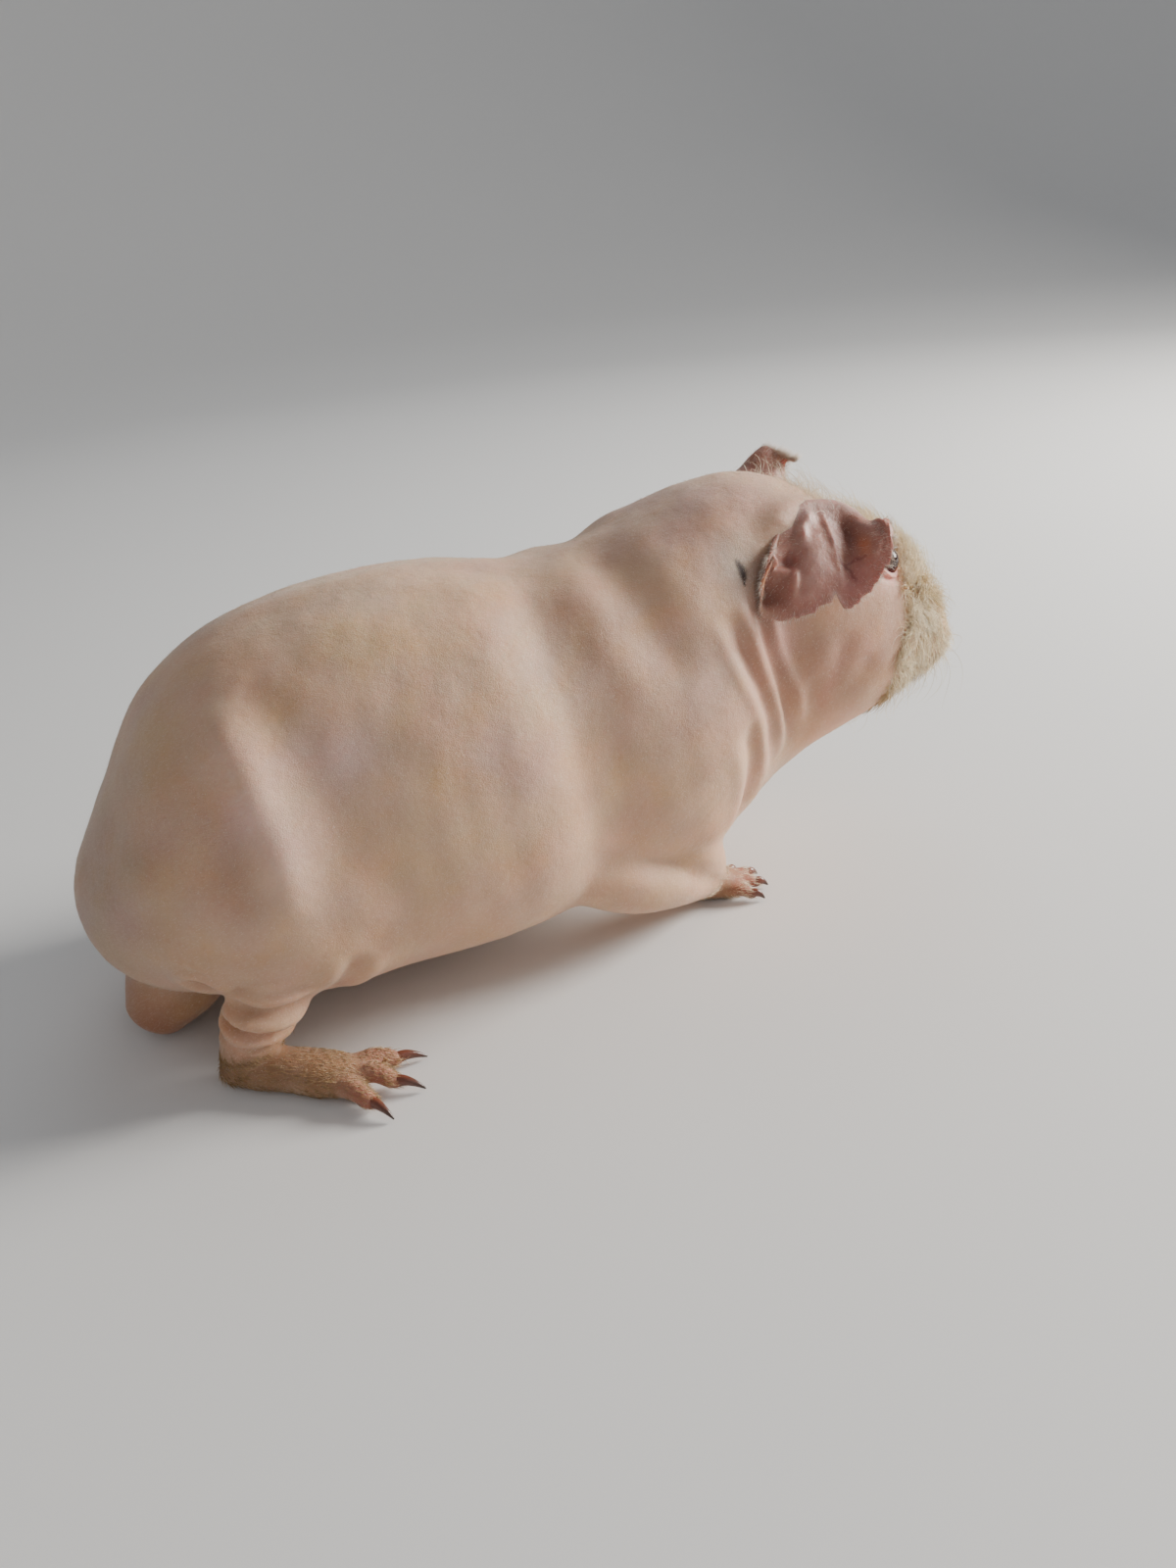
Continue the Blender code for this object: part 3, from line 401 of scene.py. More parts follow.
# Places that hold finer forms than the rest of the skin, besides the eyes
FINE_PLACES = (((133.0, 0.0, 56.0), 14.0), ((136.0, 0.0, 58.0), 8.0))
FINE_EYE = 9.5


def eye_frame(side):
    """Centre of an eye, the way it looks, and the line from its rear corner to its front one."""
    point, normal = body_at(*EYE_AT)
    centre = mirrored(point - normal * EYE_DEPTH, side)
    look = unit(mirrored(EYE_LOOK, side))
    long_way = unit(mirrored(EYE_LONG, side))
    return centre, look, unit(long_way - look * (long_way @ look))


def from_eye(points, side):
    return np.linalg.norm(points - eye_frame(side)[0], axis=1)


def with_lids(points, side):
    """Opens the skin over an eye and rolls it into two lids."""
    centre, look, long_way = eye_frame(side)
    over = np.cross(look, long_way)
    if over[2] < 0:
        over = -over
    off = points - centre
    near = (from_eye(points, side) < LID_REACH) & (off @ look > -1.0)
    part = off[near]
    a, b = part @ long_way, part @ over
    b = np.where(b > 0, b / EYE_HALF_UP, b / EYE_HALF_DOWN)
    e = np.sqrt((a / EYE_HALF_LONG) ** 2 + b ** 2)
    weight = smoothstep(np.interp(e, (0.0, 1.45, 2.3), (1.0, 1.0, 0.0)), 0.0, 1.0)
    target = centre + unit(part) * (EYE_R + np.interp(e, LID_STEPS, LID_HEIGHTS))[:, None]
    points[near] = part + centre + (target - part - centre) * weight[:, None]
    return points


def mouth_line(side):
    return np.array([body_at(x, degrees, side)[0] for x, degrees in MOUTH])


def fold(points, normals, line, width, depth, rolls):
    """Presses a line into the skin, with a roll on each side of it. A depth below zero raises a ridge."""
    distance, share = line_distance(points, line, 4.5 * width)
    taper = within_ends(share, 5.0) ** 0.7
    shape = -depth * bell(distance / width)
    shape += rolls * depth * bell((distance - 2.0 * width) / (0.9 * width))
    return points + normals * (shape * taper)[:, None]


def undulation(points, length, seed):
    """A smooth irregular wave between about -1 and 1, of that length in mm."""
    draw, waves = np.random.default_rng(seed), 7
    total = np.zeros(len(points))
    for _ in range(waves):
        way = unit(draw.normal(size=3)) * 2 * math.pi / (length * draw.uniform(0.7, 1.5))
        total += np.sin(points @ way + draw.uniform(0, 6.28))
    return total / math.sqrt(waves)


def rough_skin():
    """The union of the body and the limbs as one mesh, finer at the eyes and the nose."""
    points, faces, start = [], [], 0
    for part_points, part_faces in body_and_limbs():
        points.append(part_points)
        faces += [tuple(i + start for i in face) for face in part_faces]
        start += len(part_points)
    obj = mesh_of("skin", np.concatenate(points), faces)
    remesh = obj.modifiers.new("one skin", "REMESH")
    remesh.mode = "VOXEL"
    remesh.voxel_size = VOXEL * MM
    bpy.context.view_layer.update()
    graph = bpy.context.evaluated_depsgraph_get()
    made = bpy.data.meshes.new_from_object(obj.evaluated_get(graph))
    obj.modifiers.clear()
    obj.data = made
    bm = bmesh.new()
    bm.from_mesh(made)
    for centre, reach in [(eye_frame(side)[0], FINE_EYE) for side in SIDES.values()] + list(FINE_PLACES):
        middle = Vector((np.array(centre) + ORIGIN) * MM)
        edges = [e for e in bm.edges if all((v.co - middle).length < reach * MM for v in e.verts)]
        bmesh.ops.subdivide_edges(bm, edges=edges, cuts=1, use_grid_fill=True)
    bm.to_mesh(made)
    bm.free()
    return obj


def with_ear_root(points, normals, side):
    """Raises the head along the root of an ear and sinks the ear's canal."""
    out = mirrored(EAR_OUT, side)
    distance, share = line_distance(points, mirrored(EAR_ROOT, side) - out * EAR_SUNK, 12.0)
    points = points + out * (EAR_MOUND * within_ends(share, 6.0, 0.25) * bell(distance / 4.6))[:, None]
    canal = bump_at(points, mirrored(EAR_CANAL, side), (5.0, 4.0, 5.0))
    return points - normals * (3.5 * canal)[:, None]


def with_nostril(points, side):
    """A slit in the nose, with a wing round it."""
    pit = mirrored(NOSTRIL, side)
    turned = Matrix.Rotation(math.radians(-30.0 * side), 3, "X")
    local = (points - pit) @ np.array(turned)
    hole = np.exp(-((local / np.array([4.0, 0.85, 1.6])) ** 2).sum(axis=1) ** 1.5)
    wing = bell((np.linalg.norm((local / np.array([5.0, 1.7, 2.8])), axis=1) - 1.0) / 0.35)
    near = np.linalg.norm(points - pit, axis=1) < 6.0
    depth = np.where(near, -2.6 * hole + 0.35 * wing, 0.0)
    return points + depth[:, None] * np.array([0.9, 0.3 * side, 0.1])


def make_skin():
    obj = rough_skin()
    mesh = obj.data
    mesh.calc_loop_triangles()
    points = values_of(mesh.vertices, "co", 3, np.float32).astype(float) / MM - ORIGIN
    edges, tris = values_of(mesh.edges, "vertices", 2), values_of(mesh.loop_triangles, "vertices", 3)
    weight = np.full(len(points), REST_WEIGHT)
    for centre, reach, kind in JOINS:
        for word, side in SIDES.items():
            place = mirrored(centre, side, SHIFTS[kind][word] if kind else STILL)
            weight = np.maximum(weight, JOIN_WEIGHT * bump_at(points, place, (reach,) * 3))
    # all of it a little, the trunk more, and the joins most
    points = smoothed(points, edges, 0.5, 4)
    points = smoothed(points, edges, 0.5 * smoothstep(points[:, 2], 12.0, 22.0), 22)
    points = smoothed(points, edges, np.where(weight > 0.28, weight, 0.0), 14)
    normals = normals_of(points, tris)
    slow = undulation(points, 24.0, 3) * 0.20 + undulation(points, 9.0, 5) * 0.06
    points = points + normals * (slow * np.clip((points[:, 2] - 8.0) / 12.0, 0.0, 1.0))[:, None]
    for side in SIDES.values():
        points = with_ear_root(points, normals, side)
    for name, (line, width, depth, rolls) in FOLDS.items():
        normals = normals_of(points, tris)
        for side in ((RIGHT,) if name == "spine" else SIDES.values()):
            points = fold(points, normals, mirrored(line, -side), width, depth, rolls)
    for side in SIDES.values():
        points = with_lids(points, side)
    normals = normals_of(points, tris)
    for side in SIDES.values():
        points = fold(points, normals, mouth_line(side), 0.75, 1.5, 0.55)
        points = with_nostril(points, side)
    points = fold(points, normals, CLEFT, 0.55, 1.0, 0.4)
    points = smoothed(points, edges, np.where(points[:, 0] > 103.0, 0.3, 0.45), 3)
    points[:, 2] = np.maximum(points[:, 2], 0.0)
    mesh.vertices.foreach_set("co", in_frame(points))
    mesh.update()
    mesh.shade_smooth()
    return obj, points, normals_of(points, tris), tris


EAR_MOUND = 2.2                     # how far the head rises along the root of an ear
EAR_SUNK = 2.6                      # how far below its table an ear's root lies, on the head
EAR_CANAL = (93.0, 25.5, 93.0)
# Ears: the line where each leaves the head and its free edge, from rear to front, on the left
EAR_ROOT = ((75.5, 24.0, 97.5), (77.0, 22.0, 102.5), (81.0, 20.0, 106.0), (87.5, 18.6, 106.5),
            (94.5, 18.4, 104.6), (100.0, 19.8, 100.5), (103.0, 21.8, 95.5))
EAR_EDGE = ((70.0, 27.5, 95.5), (66.8, 29.5, 88.0), (73.0, 32.6, 80.6), (82.3, 35.0, 83.4),
            (91.5, 37.2, 84.7), (99.5, 36.0, 92.0), (104.5, 29.0, 99.8))
EAR_BULGE = {"right": 2.6, "left": 1.4}
EAR_PRICK = {"right": 0.0, "left": 13.0}
EAR_DETAIL = {"right": 1.0, "left": 0.35}
EAR_TINT = {"right": 1.0, "left": 0.6}
LEFT_TIP = (2.0, -9.0, 0.0)         # how far the left ear's front corner is drawn forward and in
EAR_OUT = (0.0, 0.55, 0.84)
EAR_INWARD = 14.0                   # how fast the root runs down into the head below the skin
EAR_ALONG, EAR_ACROSS = 96, 64
# An ear's thickness at steps from its buried root to its free edge
THICK_STEPS, THICKNESS = (-0.35, 0.0, 0.25, 0.9, 1.0), (3.0, 2.2, 1.3, 0.75, 0.45)
# Relief of an ear in mm, on its own s from rear to front and t from root to edge:
# place, reach and height
EAR_RELIEF = (
    ((0.46, 0.15), (0.040, 0.09), 2.3),
    ((0.42, 0.31), (0.030, 0.10), 1.3),
    ((0.33, 0.52), (0.050, 0.09), -2.0),
    ((0.21, 0.56), (0.050, 0.05), 1.3),
    ((0.30, 0.60), (0.040, 0.04), 1.1),
    ((0.355, 0.70), (0.022, 0.10), 1.5),
    ((0.25, 0.80), (0.060, 0.12), -1.6),
    ((0.45, 0.66), (0.070, 0.26), 1.0),
    ((0.565, 0.35), (0.020, 0.28), 0.8),
    ((0.68, 0.38), (0.070, 0.26), -2.4),
    ((0.62, 0.62), (0.035, 0.10), -1.0),
    ((0.74, 0.74), (0.060, 0.14), 0.5),
    ((0.93, 0.60), (0.040, 0.40), 0.8),
    ((0.60, 0.88), (0.060, 0.08), 0.6),
    ((0.12, 0.75), (0.050, 0.25), 0.8),
)
# Where an ear's free edge is drawn out: place, reach along it and way
EAR_CORNERS = ((0.25, 0.045, (-3.2, -0.4, -1.6)), (0.59, 0.060, (0.5, 0.6, -1.9)))


def ear_point(word, side, s, t):
    """Points of an ear's middle sheet at s from rear to front and t from root to edge."""
    keys = np.arange(len(EAR_ROOT), dtype=float)
    at = s * keys[-1]
    root = through(keys, mirrored(EAR_ROOT, side), at)
    edge = through(keys, mirrored(EAR_EDGE, side), at)
    lift = EAR_PRICK[word] * smoothstep(s, 0.30, 0.75) * (1 - 0.42 * smoothstep(s, 0.8, 1.0))
    edge[:, 2] += lift
    out = mirrored(EAR_OUT, side)
    if word == "left":
        edge += smoothstep(s, 0.35, 0.8)[:, None] * np.array(LEFT_TIP)
    root = root - out * (EAR_SUNK * (1 - 0.75 * smoothstep(s, 0.5, 0.85)))[:, None]
    edge += (root - edge) * (0.16 * smoothstep(s, 0.9, 1.0) ** 2)[:, None]
    arch = (EAR_BULGE[word] + 0.6 * lift) * np.sin(math.pi * (np.clip(t, 0, 1) * 0.85 + 0.06))
    arch = arch * (0.15 + 0.85 * smoothstep(t, -0.05, 0.5))
    for place, reach, way in EAR_CORNERS if word == "right" else ():
        edge += bell((s - place) / reach)[:, None] * mirrored(way, side)
    inward = np.minimum(t, 0.0)[:, None] * EAR_INWARD * out
    return root + (edge - root) * np.clip(t, 0, 1)[:, None] + inward + out * arch[:, None]


def spot(s, t, place, reach):
    """A round patch on an ear, 1 in its middle."""
    return np.exp(-((s - place[0]) / reach[0]) ** 2 - ((t - place[1]) / reach[1]) ** 2)


def make_ear(word):
    side = SIDES[word]
    s, t = np.meshgrid(np.linspace(0, 1, EAR_ALONG), np.linspace(-0.35, 1, EAR_ACROSS), indexing="ij")
    middle = ear_point(word, side, s.ravel(), t.ravel()).reshape(EAR_ALONG, EAR_ACROSS, 3)
    along, across = np.gradient(middle, axis=0), np.gradient(middle, axis=1)
    normal = unit(np.cross(along, across))
    if (normal[..., 1] * side).mean() + normal[..., 2].mean() < 0:
        normal = -normal
    relief = np.zeros_like(s)
    for place, reach, height in EAR_RELIEF:
        relief += height * spot(s, t, place, reach)
    relief *= EAR_DETAIL[word]
    # the free edge has one notch and is a little ragged
    notch = bell((s - 0.535) / 0.014) * np.clip((t - 0.8) / 0.2, 0, 1) ** 2
    ragged = 0.35 * np.sin(s * 47.0) + 0.25 * np.sin(s * 101.0 + 1.0) + 0.2 * np.sin(s * 173.0)
    inset = (-2.6 * notch + ragged * np.clip((t - 0.85) / 0.15, 0, 1))[..., None]
    middle = middle + unit(across) * inset
    relief += 0.10 * np.sin(s * 60 + 3 * t) * np.sin(t * 35 + 4 * s) * np.clip(t, 0, 1)
    fade = np.clip(t * 4.0, 0, 1) * np.clip((1 - t) * 6.0, 0.15, 1)
    middle = middle + normal * (relief * fade)[..., None]
    thick = np.interp(t, THICK_STEPS, THICKNESS)[..., None]
    rim = within_ends(s, 20.0, 0.25)[..., None]
    outer, inner = middle + normal * thick * rim / 2, middle - normal * thick * rim / 2
    points = np.concatenate([outer.reshape(-1, 3), inner.reshape(-1, 3)])
    count = EAR_ALONG * EAR_ACROSS
    faces = []
    for i in range(EAR_ALONG - 1):
        for j in range(EAR_ACROSS - 1):
            a, b = i * EAR_ACROSS + j, (i + 1) * EAR_ACROSS + j
            faces += [(a, b, b + 1, a + 1), (count + a, count + a + 1, count + b + 1, count + b)]
    last_row, last = (EAR_ALONG - 1) * EAR_ACROSS, EAR_ACROSS - 1
    border = [i * EAR_ACROSS for i in range(EAR_ALONG)]
    border += [last_row + j for j in range(1, EAR_ACROSS)]
    border += [i * EAR_ACROSS + last for i in range(EAR_ALONG - 2, -1, -1)]
    border += list(range(last - 1, 0, -1))
    for a, b in zip(border, border[1:] + border[:1]):
        faces.append((a, count + a, count + b, b))
    obj = mesh_of("ear_skin_" + word, points, faces)
    bm = bmesh.new()
    bm.from_mesh(obj.data)
    bmesh.ops.recalc_face_normals(bm, faces=bm.faces[:])
    bm.to_mesh(obj.data)
    bm.free()
    obj.data.shade_smooth()
    return obj, points, np.column_stack([np.tile(s.ravel(), 2), np.tile(t.ravel(), 2)])


# Colours, linear
BASE = (0.64, 0.415, 0.275)
CREASE_SHADE, SLIT_COLOUR = (0.52, 0.24, 0.18), (0.035, 0.015, 0.012)
FOOT_TONE_AND_SHADE, TOE_COLOUR = (0.28, 0.14, 0.065), (0.32, 0.085, 0.05)
LIP_COLOUR, NOSTRIL_COLOUR, LID_COLOUR = (0.74, 0.36, 0.32), (0.25, 0.07, 0.05), (0.80, 0.36, 0.33)
PUPIL, IRIS = (0.020, 0.004, 0.004), (0.12, 0.014, 0.012)
HORN_ROOT, HORN_TIP = (0.26, 0.075, 0.04), (0.045, 0.022, 0.015)
# Patches of colour on the right side: centre, reach, colour, strength. Besides the skin's own tones, some are
# painted shade and painted highlights.
TONE_SHADE_AND_HIGHLIGHT_PATCHES = (
    ((-22.7, -24.4, 96.7), (15, 15, 15), (0.72, 0.53, 0.32), 0.45),
    ((-43.1, -15.8, 98.5), (11, 11, 11), (0.72, 0.53, 0.32), 0.35),
    ((-19.5, -48.5, 54.7), (13, 13, 13), (0.72, 0.54, 0.34), 0.40),
    ((8.2, -37.3, 79.9), (10, 10, 10), (0.70, 0.50, 0.30), 0.35),
    ((-75.9, -26.6, 79.6), (11, 11, 11), (0.68, 0.49, 0.31), 0.40),
    ((14.0, -44.0, 46.0), (9, 10, 16), (0.72, 0.47, 0.28), 0.40),
    ((-42.4, -40.0, 76.0), (14, 12, 12), (0.62, 0.45, 0.43), 0.45),
    ((20.0, -32.0, 84.0), (14, 14, 16), (0.50, 0.33, 0.26), 0.50),
    ((-6.0, -45.0, 66.0), (10, 10, 10), (0.64, 0.46, 0.43), 0.35),
    ((46.0, -37.0, 66.0), (12, 12, 14), (0.62, 0.44, 0.41), 0.40),
    # painted shade over the rump's sides
    ((-98.0, -18.0, 50.0), (26, 30, 30), (0.44, 0.32, 0.245), 0.75),
    ((-64.0, -41.0, 72.0), (8, 8, 10), (0.76, 0.42, 0.37), 0.50),
    # pale along the thigh ridge: painted highlight
    ((-60.7, -40.0, 76.0), (6, 6, 8), (0.86, 0.62, 0.51), 0.50),
    ((-58.5, -45.0, 65.0), (6, 6, 9), (0.86, 0.62, 0.51), 0.55),
    ((-57.5, -48.5, 54.0), (6, 6, 9), (0.82, 0.57, 0.46), 0.40),
    # dark band on the thigh ridge's far side from the light: painted shade
    ((-68.5, -46.0, 57.0), (5, 8, 13), (0.42, 0.25, 0.19), 0.60),
    ((-46.0, -46.0, 66.0), (8, 9, 12), (0.50, 0.34, 0.27), 0.35),
    ((55.0, -15.0, 108.0), (14, 14, 9), (0.72, 0.42, 0.37), 0.45),
    ((72.0, -12.0, 110.0), (10, 12, 8), (0.75, 0.44, 0.36), 0.45),
    ((63.5, -25.5, 94.0), (6, 9, 7), (0.46, 0.44, 0.38), 0.65),
    # painted shade on the neck behind and below the ear
    ((72.0, -29.0, 86.0), (9, 10, 11), (0.20, 0.09, 0.065), 0.85),
    ((73.5, -31.0, 69.0), (9, 9, 15), (0.25, 0.105, 0.075), 0.82),
    ((64.0, -33.0, 68.0), (7, 9, 15), (0.44, 0.24, 0.175), 0.55),
    # painted shade under the jaw and on the cheek
    ((88.0, -28.0, 66.0), (10, 10, 10), (0.44, 0.22, 0.15), 0.65),
    ((99.0, -27.0, 68.0), (9, 9, 11), (0.58, 0.33, 0.235), 0.60),
    ((100.0, -26.0, 70.0), (17, 12, 20), (0.50, 0.27, 0.185), 0.50),
    ((46.0, -38.0, 60.0), (15, 12, 20), (0.54, 0.335, 0.225), 0.55),
    ((12.0, -34.0, 84.0), (14, 14, 16), (0.54, 0.37, 0.27), 0.40),
    # painted shade on the nape
    ((48.0, -6.0, 107.0), (16, 18, 12), (0.44, 0.28, 0.215), 0.60),
    # under the jaw: reddish skin, and painted shade
    ((96.0, -12.0, 42.0), (15, 20, 9), (0.78, 0.34, 0.17), 0.65),
    ((82.0, -22.0, 48.0), (7, 10, 10), (0.76, 0.42, 0.26), 0.40),
    # the rear lobe on the floor: reddish-brown skin, and painted shade
    ((-95.0, -12.0, 9.0), (13, 14, 12), (0.30, 0.115, 0.05), 0.95),
    ((52.0, -37.0, 28.0), (8, 9, 12), (0.72, 0.40, 0.24), 0.45),
    ((111.5, -24.0, 84.0), (6, 6, 6), (0.80, 0.42, 0.38), 0.55),
    ((137.0, 0.0, 59.0), (4, 8, 8), (0.80, 0.44, 0.38), 0.80),
    ((124.0, 0.0, 64.0), (12, 26, 22), (0.78, 0.60, 0.42), 0.55),
)
SLIT = ((62.6, -24.6, 96.6), (63.6, -26.4, 93.8), (63.3, -28.2, 90.6))
# The feet's darker brown skin, and painted shade: centre and reach
FOOT_TONE_AND_SHADE_PATCHES = {"hind": (((-74.0, 43.0, 5.0), (15, 15, 8)), ((-60.0, 52.0, 4.0), (9, 9, 7))),
                "fore": (((55.0, 22.0, 4.0), (9, 9, 6)),)}


def blend(colour, tone, weight):
    """Draws the colours towards a tone, by weight."""
    colour += (np.array(tone) - colour) * weight[:, None]


def painted(points):
    """The skin's colour at every point, with painted shade and painted highlights in it."""
    colour = np.tile(np.array(BASE), (len(points), 1))
    for centre, reach, tone, strength in TONE_SHADE_AND_HIGHLIGHT_PATCHES:
        both = [bump_at(points, mirrored(centre, side), reach) for side in (LEFT, RIGHT)]
        blend(colour, tone, strength * np.maximum(*both))
    colour *= (1 + 0.035 * undulation(points, 13.0, 21))[:, None]
    colour[:, 2] *= 1 - 0.05 * undulation(points, 17.0, 22)
    # painted shade: the creases of the deeper, narrower folds are darkened and reddened
    for line, width, depth, _ in FOLDS.values():
        if depth < 0.7 or width > 4:
            continue
        for side in SIDES.values():
            distance, share = line_distance(points, mirrored(line, -side), 4 * width)
            blend(colour, CREASE_SHADE, 0.45 * (bell(distance / (width * 0.8)) * within_ends(share, 5)))
    distance, share = line_distance(points, SLIT, 4.0)
    blend(colour, SLIT_COLOUR, np.exp(-(distance / (0.25 + 1.0 * np.sin(math.pi * share))) ** 4))
    for word, side in SIDES.items():
        for kind, toes in TOES.items():
            shift = SHIFTS[kind][word]
            # brown skin of the feet, darkened further as painted shade
            foot = np.zeros(len(points))
            for centre, reach in FOOT_TONE_AND_SHADE_PATCHES[kind]:
                foot = np.maximum(foot, bump_at(points, mirrored(centre, side, shift), reach))
            blend(colour, FOOT_TONE_AND_SHADE, np.clip(foot * 1.3, 0, 0.85))
            for toe in toes.values():
                distance, share = line_distance(points, mirrored(toe[:3], side, shift), 8.0)
                near = np.exp(-(distance / 3.4) ** 4) * np.clip(share * 1.5, 0, 1)
                blend(colour, TOE_COLOUR, 0.85 * near)
        distance, _ = line_distance(points, mouth_line(side), 6.0)
        blend(colour, LIP_COLOUR, 0.7 * bell(distance / 2.0))
        blend(colour, NOSTRIL_COLOUR, 0.85 * bump_at(points, mirrored(NOSTRIL, side), (5, 1.1, 1.7)))
        centre, look, _ = eye_frame(side)
        lid = bell((from_eye(points, side) - EYE_R - 0.7) / 1.1) * ((points - centre) @ look > 0)
        blend(colour, LID_COLOUR, 0.75 * lid)
    return colour


def set_colours(mesh, colours):
    layer = mesh.color_attributes.new("tone", "FLOAT_COLOR", "POINT")
    rgba = np.ones((len(mesh.vertices), 4), np.float32)
    rgba[:, :3] = np.clip(colours, 0.0, 1.0)
    layer.data.foreach_set("color", rgba.ravel())


EAR_BASE, EAR_EDGE_COLOUR = (0.42, 0.205, 0.15), (0.34, 0.23, 0.19)
EAR_ROOT_COLOUR, VEIN_COLOUR = (0.50, 0.31, 0.26), (0.16, 0.03, 0.03)
# Patches of colour on an ear: place, reach, colour and strength. Among them are painted highlights on ridges
# and painted shade in hollows.
EAR_TONE_SHADE_AND_HIGHLIGHT_PATCHES = (
    ((0.42, 0.10), (0.16, 0.12), (0.50, 0.30, 0.26), 0.8),
    # pale on the knuckle ridge: painted highlight
    ((0.45, 0.30), (0.05, 0.16), (0.70, 0.44, 0.38), 0.7),
    # dark in the valley: painted shade
    ((0.33, 0.50), (0.05, 0.10), (0.30, 0.10, 0.08), 0.8),
    ((0.46, 0.68), (0.07, 0.26), (0.62, 0.38, 0.32), 0.8),
    # the rear lobe under the fold: dark brown skin, and painted shade
    ((0.26, 0.82), (0.07, 0.16), (0.20, 0.065, 0.035), 0.9),
    # pale along the fold's edge: painted highlight
    ((0.355, 0.70), (0.02, 0.10), (0.72, 0.46, 0.38), 0.6),
    ((0.15, 0.90), (0.05, 0.22), (0.52, 0.25, 0.11), 0.8),
    ((0.24, 0.97), (0.08, 0.05), (0.48, 0.26, 0.14), 0.6),
    # the front hollow: dark red skin, and painted shade
    ((0.67, 0.36), (0.08, 0.28), (0.17, 0.042, 0.018), 0.92),
    ((0.73, 0.60), (0.035, 0.13), (0.50, 0.19, 0.07), 0.75),
    ((0.78, 0.08), (0.20, 0.10), (0.24, 0.10, 0.07), 0.8),
    ((0.62, 0.86), (0.10, 0.14), (0.42, 0.20, 0.17), 0.8),
    ((0.86, 0.60), (0.05, 0.30), (0.33, 0.14, 0.10), 0.7),
    ((0.535, 0.97), (0.02, 0.05), (0.60, 0.48, 0.42), 0.8),
)
# Veins of an ear: start, end and width
EAR_VEINS = (((0.57, 0.42), (0.58, 0.60), 0.008), ((0.58, 0.60), (0.64, 0.82), 0.008),
             ((0.585, 0.64), (0.72, 0.70), 0.006), ((0.60, 0.15), (0.575, 0.45), 0.007))


def ear_painted(coordinates, word):
    """An ear's colour: dark where it is thin, painted shade in its hollows, painted highlights over its
    ridges, grey at its edge.
    """
    s, t = coordinates.T
    colour = np.tile(np.array(EAR_BASE), (len(s), 1))
    for place, reach, tone, strength in EAR_TONE_SHADE_AND_HIGHLIGHT_PATCHES:
        blend(colour, tone, strength * spot(s, t, place, reach) * EAR_TINT[word])
    blend(colour, EAR_EDGE_COLOUR, 0.6 * np.clip((t - 0.9) / 0.1, 0, 1) ** 1.5)
    blend(colour, EAR_ROOT_COLOUR, 0.85 * np.clip(1 - t * 6.0, 0, 1))
    for start, end, width in EAR_VEINS:
        a, b = np.array(start), np.array(end)
        share = np.clip(((coordinates - a) @ (b - a)) / ((b - a) @ (b - a)), 0, 1)
        off = coordinates - a - share[:, None] * (b - a)
        off[:, 0] += 0.006 * np.sin(share * 9)
        blend(colour, VEIN_COLOUR, 0.6 * spot(*off.T, STILL, (width, 0.02)))
    return colour


# Hair: closed, three-sided, tapered and bent strands, many to a mesh
TUFT_PATCH = 0.003                  # size of a strand's patch on the unwrap
CORNERS = [(math.cos(a), math.sin(a)) for a in (0.5, 2.6, 4.7)]


def unwrapped(points):
    """The place of a point of the skin on its own unwrap: along the body, and round it."""
    u = np.interp(points[:, 0], FINE_X, FINE_KEYS) / KEYS[-1]
    v = np.arctan2(points[:, 2] - 55.0, points[:, 1]) / TURN + 0.5
    return np.column_stack([0.01 + 0.75 * u, 0.01 + 0.98 * v])


def unwrapped_foot(points, cell):
    """A foot's own part of the unwrap, seen from above and below."""
    low, high = points.min(axis=0), points.max(axis=0)
    share = (points - low) / (high - low + 1e-6)
    return np.column_stack([0.78 + 0.20 * share[:, 0], 0.02 + 0.24 * cell + 0.2 * share[:, 1]])


def strand_paths(roots, normals, lies, lengths, rises, segments, curl, turns, droop, seed, sunk):
    """The middle line of each strand, which leaves the skin at its rise and bends to its lie."""
    draw = np.random.default_rng(seed)
    count = len(roots)
    t = np.linspace(0, 1, segments + 1)
    side = unit(np.cross(normals, lies))
    way = np.empty((count, segments + 1, 3))
    for k, share in enumerate(t):
        stand = rises * (1 - share) ** 1.2
        way[:, k] = unit(normals * stand[:, None] + lies * (1.05 - stand)[:, None]
                         + np.array([0.0, 0.0, -droop * share]))
    step = (lengths / segments)[:, None]
    path = np.empty_like(way)
    path[:, 0] = roots - normals * sunk
    for k in range(segments):
        path[:, k + 1] = path[:, k] + (way[:, k] + way[:, k + 1]) / 2 * step
    phase = draw.uniform(0, 6.28, count)
    amount = np.broadcast_to(curl, (count,)) * lengths
    for k, share in enumerate(t):
        turn = 2 * math.pi * np.broadcast_to(turns, (count,)) * share + phase
        grow = amount * share
        over = np.cross(way[:, k], side)
        path[:, k] += (side * (grow * (np.cos(turn) - np.cos(phase) * (1 - share)))[:, None]
                       + over * (grow * (np.sin(turn) - np.sin(phase) * (1 - share)))[:, None] * 0.6)
    return path


